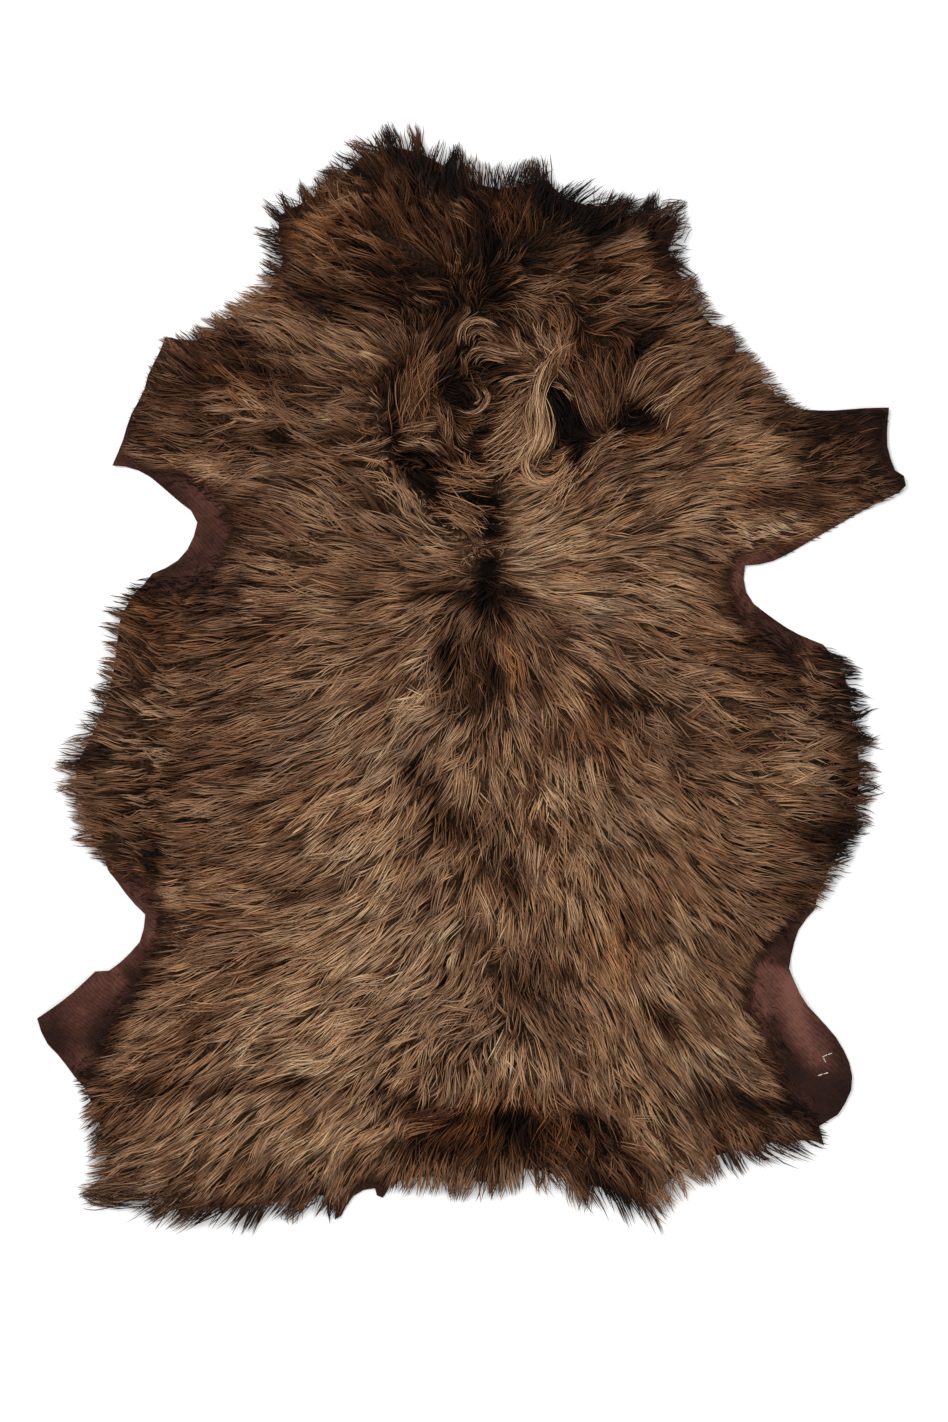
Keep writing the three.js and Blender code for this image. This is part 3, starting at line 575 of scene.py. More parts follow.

# Soft patches of colour: two ends, reach, tone in hundredths (darker below 0) and, if any, warmth in
# hundredths (redder above).
# Most are the wool's own colour. The darks in the creases, folds, partings and the whorls' pockets are
# painted shade.
TINTS: Table = {
    "neck, all": (320, 215, 660, 225, 66, -28),
    "neck, left pale": (304, 242, 344, 200, 18, 27, 10),
    "neck, black fleck": (350, 250, 376, 262, 11, -30),
    "neck, crest streak": (500, 190, 512, 206, 8, 30, 50),
    "neck, crest fleck": (540, 196, 600, 224, 13, -40),
    "neck foot, fleck": (400, 296, 462, 306, 13, -30),
    "neck, pale right arm": (630, 250, 664, 292, 13, 16, 10),
    "right shoulder, rim shade": (720, 385, 790, 410, 18, -16),
    "whorl foot, pale": (508, 440, 524, 520, 10, 14, 20),
    "crease, high pale": (296, 1066, 336, 1072, 15, 12),
    "rump, pale by the flap": (716, 1058, 736, 1082, 15, 18),
    "rump, pale by the point": (640, 1140, 676, 1156, 13, 14),
    "loins, pale middle": (470, 880, 510, 950, 15, 10),
    "left side, dark arm": (200, 610, 260, 660, 18, -12),
    "right rim pale": (862, 716, 872, 800, 9, 26),
    "right rump rim, low": (730, 1166, 826, 1144, 10, -36),
    "left shoulder, upper shade": (240, 372, 290, 396, 22, -16),
    "right side, upper shade": (715, 650, 815, 700, 18, -14),
    "right side, mid shade": (632, 734, 650, 744, 14, -18),
    "right loin, rim shade": (740, 850, 790, 870, 18, -12),
    "rump, mid shade": (556, 1010, 562, 1070, 17, -14),
    "left thigh shade, low": (130, 1124, 148, 1136, 13, -14),
    "left flank fleck": (144, 780, 156, 790, 9, -8),
    "back, pale low": (520, 788, 548, 798, 13, 13),
    "back, pale right": (520, 570, 600, 620, 18, 10),
    "back, pale left": (340, 672, 392, 680, 17, 10),
    "loins, left pale": (290, 842, 372, 866, 13, 10),
    "bottom rim, middle": (205, 1222, 275, 1218, 9, -30),
    "rump point rim": (590, 1186, 650, 1216, 12, -30),
    "left belly rim": (92, 610, 62, 730, 12, -24),
    "neck, pale arm": (384, 206, 402, 236, 13, 10, 10),
    "neck, right pale": (590, 254, 652, 262, 13, 12, 10),
    "neck foot, far right": (560, 300, 650, 330, 18, -10),
    "left shoulder, mid shade": (180, 452, 290, 452, 14, -14),
    "left shoulder, low pale": (250, 482, 310, 490, 10, 8),
    "withers, far left pale": (296, 540, 330, 552, 15, 14),
    "right shoulder, top pale": (700, 358, 718, 374, 12, 16),
    "right shoulder, mid pale": (662, 410, 676, 450, 12, 12),
    "foreleg root, deep": (750, 502, 830, 496, 16, -20),
    "right armpit, wool": (690, 552, 716, 540, 16, -14),
    "left flank, pale rim": (124, 650, 104, 790, 14, 12),
    "left flank, low shade": (112, 820, 176, 872, 20, -14),
    "left side shade": (230, 720, 256, 760, 18, -8),
    "spine shade, low": (452, 660, 484, 730, 14, -8),
    "rump shade, low": (462, 1028, 484, 1034, 12, -14),
    "rump, pale arm": (516, 1046, 524, 1100, 13, 4),
    "left rump, low streak": (160, 1142, 400, 1136, 15, 9),
    "right rump, pale arm": (612, 1048, 680, 1064, 14, 11),
    "right rump shade, high": (700, 1000, 704, 1036, 13, -6),
    "neck foot, far left": (300, 292, 380, 300, 22, -12),
    "left shoulder, far": (180, 372, 200, 430, 24, -10),
    "left side, high": (130, 590, 250, 640, 26, -12),
    "left side, low": (150, 690, 200, 700, 18, -10),
    "right side, high": (740, 650, 790, 662, 20, -12),
    "right side, rim": (836, 650, 860, 700, 20, -16),
    "right side, rim low": (850, 780, 840, 850, 20, -16),
    "right loin, low": (700, 850, 742, 880, 22, -12),
    "back, pale high": (520, 540, 545, 600, 16, 10),
    "shoulder, pale": (512, 420, 540, 440, 12, 8),
    "loins, pale spot": (346, 944, 366, 970, 13, 10),
    "loins shade, wide": (370, 818, 492, 836, 14, -10),
    "left hip shade": (190, 990, 250, 1040, 17, -10),
    "bottom rim, deep": (100, 1206, 330, 1212, 9, -16),
    "left rump, foot": (290, 1176, 312, 1186, 13, -14),
    "right rump rim": (730, 1160, 812, 1146, 12, -20),
    "right edge, all": (856, 690, 850, 810, 34, -26),
    "left shoulder, all": (200, 400, 300, 540, 80, -12),
    "left edge, all": (90, 680, 110, 800, 30, -10),
    "right body, all": (640, 640, 720, 800, 60, -4),
    "tail, all": (430, 1140, 600, 1140, 34, -14, 10),
    "whorls, all": (430, 380, 610, 400, 62, -16, 5),
    "rump, left, all": (230, 1000, 360, 1000, 90, 4),
    "left side, all": (140, 600, 190, 850, 46, -11),
    "left body, pale": (345, 710, 370, 860, 44, 8),
    "back, pale": (550, 785, 605, 812, 28, 9),
    "withers, right pale": (530, 520, 565, 585, 30, 18),
    "right shoulder, low": (600, 600, 690, 606, 18, 6),
    "loins, pale": (360, 930, 455, 965, 32, 7),
    "left rump, pale": (290, 1040, 400, 1120, 34, 6),
    "right rump, pale": (630, 1120, 652, 1170, 16, 8),
    "left armpit, all": (236, 490, 240, 575, 24, -12),
    "neck foot, band": (330, 304, 470, 314, 15, -24),
    "neck foot, right band": (560, 316, 640, 326, 16, -8),
    "neck foot, pale": (372, 346, 400, 368, 13, 12),
    "withers, spine pale": (522, 496, 530, 600, 11, 12),
    "left armpit, far streak": (212, 600, 246, 606, 13, -15),
    "left side, mid fleck": (246, 766, 268, 770, 10, -14),
    "loins, mid pale": (455, 898, 520, 930, 14, 10),
    "crease, above": (296, 1072, 330, 1074, 13, 10),
    "left loin pale": (330, 962, 352, 960, 13, 8),
    "right side pale": (690, 700, 702, 730, 13, 9),
    "right side pale, low": (646, 802, 662, 808, 10, 12),
    "right loin, far": (742, 868, 728, 955, 17, -9),
    "rump pale, left": (434, 1092, 448, 1098, 9, 12),
    "rump pale, right": (612, 1034, 620, 1050, 12, 8),
    "back, right pale": (600, 620, 626, 646, 15, 8),
    "foreleg root fleck": (786, 500, 812, 510, 9, -14),
    "left foreleg, all": (168, 372, 152, 432, 34, -24),
    "left foreleg, top": (166, 346, 196, 360, 16, -30),
    "left foreleg, low": (140, 452, 215, 474, 13, 20),
    "left shoulder, rim": (235, 365, 300, 385, 16, -8),
    "left shoulder, low": (225, 480, 320, 510, 17, 8),
    "withers tuft": (440, 545, 460, 555, 10, 12, 10),
    "back, left of the spine": (385, 600, 418, 700, 22, 9),
    "spine shade": (466, 636, 486, 720, 17, -12),
    "left side fleck": (196, 690, 210, 704, 14, -16),
    "left belly shade": (145, 830, 156, 856, 14, -16),
    "right side shade, low": (600, 700, 655, 712, 17, -10),
    "loins shade": (440, 828, 480, 836, 14, -12),
    "right loin": (640, 900, 705, 945, 22, -10),
    "right belly shade": (775, 680, 790, 700, 14, -14),
    "left rump, low pale": (165, 1150, 215, 1145, 16, 9),
    "left rump, mid pale": (320, 1000, 345, 1070, 18, 6),
    "left loin shade": (220, 980, 260, 965, 13, -10),
    "foreleg foot, pale": (752, 546, 806, 526, 13, 20),
    "foreleg root shade": (790, 490, 812, 504, 12, -14),
    "left flap, by the wool": (150, 985, 110, 1050, 16, -10),
    "neck foot, left": (320, 300, 400, 306, 20, -10),
    "neck foot": (420, 322, 450, 340, 18, -10),
    "neck foot, right": (580, 338, 665, 340, 26, -9),
    "left shoulder, top": (200, 350, 285, 365, 28, -8),
    "left shoulder, pale": (325, 355, 365, 360, 14, 10),
    "left shoulder shade": (335, 445, 352, 462, 14, -12),
    "right foreleg, root": (725, 435, 760, 455, 22, 8),
    "right side shade": (735, 645, 785, 665, 20, -10),
    "left thigh": (90, 1040, 165, 1100, 38, -7),
    "right loin shade": (732, 955, 746, 985, 20, -8),
    "rump shade, right": (540, 960, 560, 1030, 17, -9),
    "withers shade, left": (430, 590, 466, 646, 14, -10),
    "withers shade": (470, 500, 484, 530, 10, -10),
    "neck crest": (385, 144, 480, 188, 19, -50, 10),
    "neck crest, right": (510, 180, 640, 206, 18, -50, 10),
    # Painted shade down the neck's parting.
    "neck parting": (484, 215, 500, 295, 16, -50, 10),
    "neck, left rim": (280, 190, 272, 262, 15, -30),
    "neck band": (380, 278, 470, 280, 11, -30, 10),
    "neck band, left": (262, 300, 340, 292, 11, -16, 10),
    # Painted shade in the neck's fold.
    "neck fold": (488, 296, 500, 322, 12, -30),
    "neck, right fleck": (575, 228, 602, 226, 9, -28),
    "neck, left": (300, 220, 400, 250, 46, 0, 30),
    "neck, pale lock": (448, 206, 458, 226, 9, 24, 10),
    "neck, rust": (500, 215, 520, 225, 18, 0, 50),
    "neck, right": (600, 260, 670, 270, 40, -3, 10),
    "left shoulder fleck": (240, 340, 264, 352, 10, -34),
    "left shoulder fleck, low": (262, 437, 292, 440, 9, -28),
    "left shoulder, rust": (210, 378, 245, 384, 20, 4, 35),
    # Painted shade down the left parting.
    "left parting": (396, 370, 394, 440, 8, -38),
    # Painted shade deep in the whorls' pockets, the comma among them.
    "left pocket": (404, 454, 446, 462, 11, -85),
    "left pocket, low": (404, 470, 440, 492, 9, -70),
    "curl pocket": (448, 378, 462, 400, 12, -85),
    "curl pocket, right": (476, 364, 512, 371, 8, -75),
    "feather shade": (458, 424, 484, 430, 10, -65),
    "feather shade, low": (462, 446, 474, 456, 8, -45),
    "comma, head": (550, 390, 562, 404, 10, -110),
    "comma": (562, 410, 576, 430, 14, -130),
    "comma, foot": (574, 438, 582, 458, 11, -110),
    "pocket, right": (626, 426, 648, 422, 12, -120, 10),
    "pocket rust": (626, 441, 652, 442, 6, 10, 60),
    "crest rust": (560, 330, 600, 336, 16, -2, 45),
    "crest shade": (624, 350, 662, 354, 7, -28, 10),
    "left rise, rust": (416, 374, 420, 408, 11, 4, 35),
    "pale lock, top": (566, 348, 546, 384, 7, 26, 15),
    "pale lock, foot": (540, 400, 528, 480, 8, 28, 10),
    "withers bar": (468, 497, 492, 506, 7, -80),
    "withers drop": (490, 505, 492, 532, 8, -75),
    "withers eye": (490, 566, 482, 600, 11, -85),
    "withers eye, foot": (482, 602, 502, 616, 11, -50),
    "withers eye, side": (500, 590, 532, 600, 6, -24),
    "withers, left": (438, 592, 404, 600, 7, -22),
    "withers, pale": (430, 500, 470, 522, 8, 16, 20),
    "back fleck": (442, 650, 447, 676, 9, -50),
    "back fleck, right": (478, 654, 498, 684, 8, -50, 10),
    "back fleck, low": (450, 708, 470, 700, 9, -45),
    "back rust": (510, 650, 518, 690, 10, 10, 60),
    "withers chain": (474, 526, 500, 532, 8, -40),
    "withers chain, left": (432, 498, 444, 524, 6, -40),
    "crown arm, left": (444, 592, 470, 598, 7, -30),
    "crown arm, right": (510, 590, 528, 600, 7, -30),
    "back fleck, left": (444, 628, 450, 660, 8, -30),
    # Painted shade in the fold left of the tail.
    "tail fold, left": (382, 1090, 404, 1108, 10, -26),
    "shoulder blade, pale": (250, 396, 262, 410, 14, 10),
    "loin fleck": (411, 766, 440, 800, 11, -55),
    "loin band": (432, 826, 478, 832, 9, -24, 10),
    "loin fleck, low": (427, 876, 431, 896, 8, -36),
    "loin fleck, low right": (459, 874, 463, 892, 7, -34),
    "spine fleck": (512, 868, 515, 890, 7, -34),
    "spine fleck, high": (494, 814, 502, 820, 6, -26),
    "right fleck, low": (610, 762, 614, 782, 7, -30),
    "right loin fleck": (626, 908, 631, 932, 8, -36),
    "right side fleck, far": (642, 836, 656, 844, 7, -26),
    "spine fleck, lowest": (500, 968, 514, 984, 10, -20),
    "right back fleck": (530, 686, 538, 694, 7, -26, 10),
    "rump fleck, low": (438, 1060, 444, 1070, 7, -30),
    "tail fleck": (414, 1110, 426, 1116, 8, -36, 10),
    "right fleck": (604, 694, 612, 720, 7, -34),
    "right side, rust": (570, 700, 600, 745, 30, 0, 25),
    "right shoulder, pale": (545, 500, 620, 545, 26, 8),
    "left fringe fleck": (72, 765, 106, 761, 7, -36),
    "left armpit shade": (158, 574, 186, 582, 8, -40),
    "left armpit streak": (214, 592, 246, 580, 8, -26),
    "belly line shade": (172, 776, 148, 792, 11, -28, 10),
    "belly line shade, low": (152, 858, 142, 884, 11, -26, 20),
    "left belly rust": (125, 612, 170, 640, 22, -6, 35),
    "rump, left pale": (240, 1000, 345, 950, 42, 7),
    "rump, left pale, low": (200, 1125, 320, 1130, 34, 5),
    "left rump fleck": (200, 1010, 196, 1046, 10, -26),
    # Painted shadow along the crease across the rump.
    "crease, left": (128, 1086, 152, 1086, 9, -36),
    "crease": (150, 1090, 300, 1084, 6, -42),
    "crease, on": (300, 1084, 420, 1096, 6, -22),
    "left thigh shade": (80, 1076, 104, 1084, 9, -28),
    "bottom rim, left": (88, 1194, 200, 1216, 8, -30),
    "bottom rim": (205, 1216, 320, 1204, 8, -18),
    "rump fleck": (372, 1092, 402, 1102, 8, -24),
    "rump fleck, right": (452, 1040, 466, 1066, 7, -28),
    "rump fleck, high": (436, 966, 444, 980, 8, -40),
    "rump shade": (520, 960, 528, 1000, 14, -12),
    "rump notch": (504, 1022, 526, 1036, 6, -28),
    "rump, pale": (490, 1068, 545, 1064, 15, 10),
    # Painted shadow in the crease above the tail.
    "tail crease": (456, 1113, 534, 1118, 9, -60, 50),
    "tail, rust": (450, 1132, 560, 1140, 20, -14, 60),
    "tail, left shade": (406, 1146, 442, 1150, 12, -50, 10),
    "tail, right shade": (502, 1126, 532, 1136, 10, -50, 20),
    "right rump shade": (584, 1120, 640, 1168, 17, -36),
    "rump point shade": (602, 1180, 640, 1212, 11, -26),
    # Painted shade in the hind fold.
    "hind fold": (704, 1088, 748, 1100, 7, -36),
    "hind fold, end": (764, 1103, 814, 1118, 8, -52),
    "right rump fleck": (656, 1010, 666, 1030, 7, -32),
    "right armpit shade": (764, 640, 792, 652, 12, -26, 10),
    "right armpit rim": (804, 636, 832, 652, 7, -44),
    "right rim": (862, 690, 868, 800, 11, -36),
    "right rim, low": (806, 836, 850, 846, 15, -34),
    "right flank shade": (790, 892, 815, 886, 10, -24, 10),
    "right flank, pale": (770, 792, 802, 768, 20, 10),
    "foreleg streak": (820, 490, 826, 522, 13, -20),
    "foreleg end": (884, 430, 892, 474, 12, -4),
    "foreleg rim": (832, 414, 888, 414, 9, -6),
    "foreleg": (842, 424, 884, 440, 34, -50),
    "foreleg, low": (830, 470, 892, 480, 22, -16),
    "right side, rust, low": (610, 940, 625, 975, 18, 0, 30),
}

# Soft patches where the strands stand closer together: two ends and reach.
CLOSER: Table = {
    "neck": (320, 215, 650, 240, 70),
    "whorls": (410, 380, 640, 410, 70),
    "withers": (490, 500, 490, 600, 45),
}

# Soft patches where the tufts wander further from the lie of the wool: two ends and reach.
RUFFLED: Table = {
    "neck": (320, 200, 650, 240, 60),
    "left shoulder": (270, 400, 380, 480, 50),
    "spine": (470, 640, 500, 1080, 52),
    "loins": (400, 780, 600, 800, 40),
    "rump": (400, 1040, 620, 1120, 46),
    "right flank": (640, 700, 820, 760, 50),
}

# Soft patches where the wool hangs further over the rim: two ends and reach.
SHAGGY: Table = {
    "neck crest": (385, 150, 470, 175, 34),
    "neck crest, right": (500, 185, 640, 212, 34),
    "neck corner": (672, 214, 676, 222, 30),
    "neck, left": (285, 200, 275, 260, 26),
    "left rump": (100, 1195, 300, 1210, 28),
    "rump point": (600, 1185, 645, 1215, 30),
    "left belly": (90, 620, 75, 800, 26),
    "right belly": (860, 700, 850, 820, 20),
}

# Soft patches where short hair covers the skin right up to its cut edge: two ends and reach.
TO_THE_EDGE: Table = {
    "right foreleg": (790, 440, 905, 450, 60),
    "right foreleg, low": (758, 546, 860, 496, 17),
    "left foreleg": (165, 345, 124, 440, 22),
    "left foreleg, low": (140, 446, 178, 466, 13),
}

# Creases and swells where the leather shows: two ends, reach, height in millimetres.
CREASES: Table = {
    "right flap fold": (764, 952, 792, 968, 5, 2.4),
    "right flap swell": (798, 985, 822, 1062, 13, 2.6),
    "right flap dip": (782, 1010, 800, 1075, 8, -1.2),
    "right flap rim": (836, 1040, 846, 1090, 7, 1.6),
    "right flap, low": (806, 1080, 836, 1108, 7, 1.4),
    "left flap swell": (58, 1030, 100, 985, 12, 2.2),
    "left flap dip": (72, 1052, 112, 1002, 7, -1.2),
    "left flap fold": (128, 972, 142, 948, 5, 2.2),
    "left flap corner": (40, 1020, 52, 1044, 8, 1.8),
    "left armpit swell": (196, 505, 224, 540, 10, 1.8),
    "left armpit fold": (188, 556, 222, 546, 5, 1.6),
    "right armpit fold": (744, 566, 768, 556, 5, 1.6),
    "left notch swell": (150, 880, 152, 940, 10, 1.4),
}

# Where the leather lies lighter or darker: two ends, reach, tone. Most marks are its dye. The sheen marks
# are painted highlight. The folds, the strips by the wool and the high left armpit are painted shade.
DYE_AND_PAINTED_LIGHT: Table = {
    # Painted highlight: the sheen along the right flap's swell.
    "right flap sheen": (790, 988, 812, 1060, 12, 0.75),
    "right flap sheen, top": (772, 972, 796, 985, 12, 0.35),
    # Painted shade in the right flap's fold.
    "right flap fold": (764, 954, 790, 966, 5, -0.9),
    "right flap, low": (812, 1078, 838, 1112, 20, -1.0),
    "right flap rim": (838, 1035, 848, 1090, 10, -0.6),
    # Painted shadow that the wool casts on the right flap.
    "right flap, by the wool": (774, 1026, 800, 1088, 9, -0.6),
    "right flap, inner": (750, 970, 764, 1008, 10, 0.5),
    "right notch": (785, 925, 790, 945, 16, -0.4),
    "left flap corner": (44, 1016, 64, 1046, 15, -0.5),
    # Painted shadow that the wool casts on the left flap.
    "left flap, by the wool": (156, 958, 100, 1044, 13, -0.8),
    "left flap rust": (70, 1046, 96, 1060, 10, 0.2),
    "left flap, high": (92, 990, 120, 984, 14, 0.15),
    # Painted shade in the left flap's fold.
    "left flap fold": (124, 966, 142, 986, 5, -0.6),
    "left notch": (146, 900, 152, 945, 12, 0.1),
    "left armpit": (204, 512, 212, 545, 16, -0.15),
    # Painted shade at the high left armpit.
    "left armpit, high": (150, 478, 186, 500, 10, -0.45),
    "left armpit, low": (165, 575, 196, 560, 12, -0.5),
    "left foreleg": (150, 360, 130, 440, 24, -0.8),
    "right foreleg": (800, 430, 900, 465, 46, -1.2),
    "right armpit": (738, 566, 750, 604, 14, 0.1),
    "right armpit, low": (765, 612, 800, 634, 10, -0.3),
    "tail": (380, 1190, 340, 1210, 20, -0.4),
}


class Chart:
    """A quantity known on an even grid of points over the hide, and read between them."""

    low = np.array([-0.480, -0.600])
    high = np.array([0.480, 0.600])
    step = 0.004

    def __init__(self, values: np.ndarray) -> None:
        """Keeps the values, indexed by x and then y."""
        self.values = values

    @classmethod
    def shape(cls) -> tuple[int, int]:
        """The number of points along x and y."""
        return tuple(int(n) for n in np.round((cls.high - cls.low) / cls.step) + 1)

    @classmethod
    def points(cls) -> np.ndarray:
        """The grid's points, in the order of the values.

        Returns:
            Places in metres, one row each.
        """
        across, along = cls.shape()
        x = cls.low[0] + cls.step * np.arange(across)
        y = cls.low[1] + cls.step * np.arange(along)
        return np.stack(np.meshgrid(x, y, indexing="ij"), -1).reshape(-1, 2)

    @classmethod
    def spaced(cls, step: float) -> np.ndarray:
        """Points over the hide at a step of their own, by x and then y, with both in the last axis."""
        x, y = (np.arange(low, high, step) for low, high in zip(cls.low, cls.high))
        return np.stack(np.meshgrid(x, y, indexing="ij"), -1)

    def at(self, places: np.ndarray) -> np.ndarray:
        """Reads the chart.

        Args:
            places: x and y in metres, in the last axis.

        Returns:
            The values there, with that axis gone.
        """
        limit = np.array(self.values.shape[:2]) - 1.001
        spot = np.clip((places - self.low) / self.step, 0, limit)
        i, j = np.moveaxis(spot.astype(int), -1, 0)
        u, v = np.moveaxis(spot - np.stack([i, j], -1), -1, 0)
        if self.values.ndim == 3:
            u, v = u[..., None], v[..., None]
        low = self.values[i, j] * (1 - u) + self.values[i + 1, j] * u
        high = self.values[i, j + 1] * (1 - u) + self.values[i + 1, j + 1] * u
        return low * (1 - v) + high * v

    def blurred(self, rounds: int) -> "Chart":
        """Makes a softened copy.

        Args:
            rounds: How often each value is mixed with its four neighbours.

        Returns:
            The new chart.
        """
        values = self.values
        for _ in range(rounds):
            pad = np.pad(values, 1, mode="edge")
            beside = pad[:-2, 1:-1] + pad[2:, 1:-1] + pad[1:-1, :-2] + pad[1:-1, 2:]
            values = (values * 2 + beside) / 6
        return Chart(values)


def patch_weight(points: np.ndarray, rows: np.ndarray) -> np.ndarray:
    """How strongly each soft patch of a table covers each point.

    Args:
        points: Places in metres, one row each.
        rows: Each patch's two ends and reach, in picture millimetres.

    Returns:
        One row for each point and one column for each patch, from 0 to 1.
    """
    start, end = on_hide(rows[:, 0:2]), on_hide(rows[:, 2:4])
    line = end - start
    over = points[:, None] - start[None]
    share = (over * line).sum(-1) / np.maximum((line * line).sum(-1), 1e-12)
    away = np.linalg.norm(over - np.clip(share, 0, 1)[..., None] * line, axis=-1)
    return np.exp(-((away / (rows[:, 4] * MM)) ** 2))


def value_noise(points: np.ndarray, wave_mm: float, seed: int) -> np.ndarray:
    """Soft noise.

    Args:
        points: Places in metres.
        wave_mm: About how far apart its lumps are.
        seed: What they are drawn from.

    Returns:
        The noise at each place, from -1 to 1.
    """
    rng = np.random.default_rng(seed)
    knots = rng.uniform(-1, 1, (64, 64))
    spot = (points - Chart.low) / (wave_mm * MM)
    i, j = np.moveaxis(np.floor(spot).astype(int), -1, 0)
    u, v = np.moveaxis(smooth_step(spot - np.floor(spot)), -1, 0)
    i, j = i % 63, j % 63
    low = knots[i, j] * (1 - u) + knots[i + 1, j] * u
    high = knots[i, j + 1] * (1 - u) + knots[i + 1, j + 1] * u
    return low * (1 - v) + high * v


def as_rows(table: Table, width: int) -> np.ndarray:
    """Stacks a table's rows, with a nought for a last number that a row leaves out."""
    return np.array([(*row, 0.0)[:width] for row in table.values()], float)


def surface_of(mesh: bpy.types.Mesh) -> BVHTree:
    """A mesh's surface, to be looked down on."""
    return BVHTree.FromPolygons([v.co for v in mesh.vertices], [tuple(p.vertices) for p in mesh.polygons])


@dataclass
class Ground:
    """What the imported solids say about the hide: their outlines, and how high they stand."""

    skin_node: str = "skin"
    wool_node: str = "fleece"
    gap_closed: float = 9.0
    fades_mm: float = 9.0
    spread_rounds: int = 9
    least_weight: float = 0.02
    rim_height_mm: float = 4.0
    bare_from_mm: float = 6.0
    skin_top: Chart = field(init=False)
    wool_top: Chart = field(init=False)
    in_wool: Chart = field(init=False)
    in_skin: Chart = field(init=False)
    in_hide: Chart = field(init=False)
    from_bare: Chart = field(init=False)

    def __post_init__(self) -> None:
        """Reads both solids from above."""
        points = Chart.points()
        skin = self.looked_down_on(self.skin_node, points)
        wool = self.looked_down_on(self.wool_node, points)
        self.skin_top = Chart(np.nan_to_num(skin, nan=0.0))
        self.in_skin = Chart(self.depth_inside(~np.isnan(skin)))
        self.in_wool = Chart(self.depth_inside(~np.isnan(wool)))
        hide = self.depth_inside(~np.isnan(skin) | ~np.isnan(wool))
        self.in_hide = Chart(self.depth_inside(hide > -self.gap_closed * MM) - self.gap_closed * MM)
        fall = np.exp(np.minimum(self.in_wool.values, 0) / (self.fades_mm * MM))
        known = np.where(np.isnan(wool), 0.0, wool)
        weight = (~np.isnan(wool)).astype(float)
        for _ in range(self.spread_rounds):
            known, weight = Chart(known).blurred(1).values, Chart(weight).blurred(1).values
        spread = known / np.maximum(weight, 1e-6)
        soft = np.where(weight > self.least_weight, spread, self.rim_height_mm * MM)
        self.wool_top = Chart(np.where(np.isnan(wool), soft * fall, 0.5 * wool + 0.5 * soft))
        skin_past_wool = (self.in_skin.values > self.bare_from_mm * MM) & (self.in_wool.values < 0)
        self.from_bare = Chart(self.away_from(skin_past_wool))
        log.info("ground read: %d points", len(points))

    def clear_of_bare(self, places: np.ndarray, reach_mm: float) -> np.ndarray:
        """How clear of bare skin each place is, from 0 on it to 1 at reach_mm from it."""
        return smooth_step(self.from_bare.at(places) / (reach_mm * MM))

    def looked_down_on(self, node: str, points: np.ndarray) -> np.ndarray:
        """The height of a node's upper surface at each point, or nan beside it.

        Args:
            node: The CAD node's name.
            points: Places in metres, one row each.

        Returns:
            Heights in metres, on the chart's grid.
        """
        surface = surface_of(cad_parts[node].data)
        down = Vector((0, 0, -1))
        heights = np.full(len(points), np.nan)
        for k, (x, y) in enumerate(points):
            hit = surface.ray_cast(Vector((x, y, LOOK_FROM)), down)[0]
            if hit is not None:
                heights[k] = hit.z
        return heights.reshape(Chart.shape())

    def away_from(self, marked: np.ndarray, most: int = 2500, at_once: int = 4096) -> np.ndarray:
        """The distance from every point of the grid to the nearest marked one, in metres.

        Args:
            marked: Which points of the grid are marked.
            most: The number of marked points beyond which only some are used.
            at_once: How many points are compared at a time.

        Returns:
            The distances, on the grid.
        """
        points = Chart.points().astype(np.float32)
        edge = points[marked.ravel()]
        if len(edge) > most:
            edge = edge[:: len(edge) // most + 1]
        away = np.empty(len(points), np.float32)
        for first in range(0, len(points), at_once):
            over = points[first : first + at_once, None] - edge[None]
            away[first : first + at_once] = np.sqrt((over * over).sum(-1).min(1))
        return away.reshape(marked.shape)

    def depth_inside(self, inside: np.ndarray) -> np.ndarray:
        """The distance to an outline.

        Args:
            inside: Which points of the grid are inside it.

        Returns:
            Metres for each point, positive inside it and negative outside.
        """
        pad = np.pad(inside, 1)
        beside = pad[:-2, 1:-1] & pad[2:, 1:-1] & pad[1:-1, :-2] & pad[1:-1, 2:]
        away = self.away_from(inside & ~beside)
        return np.where(inside, away, -away)


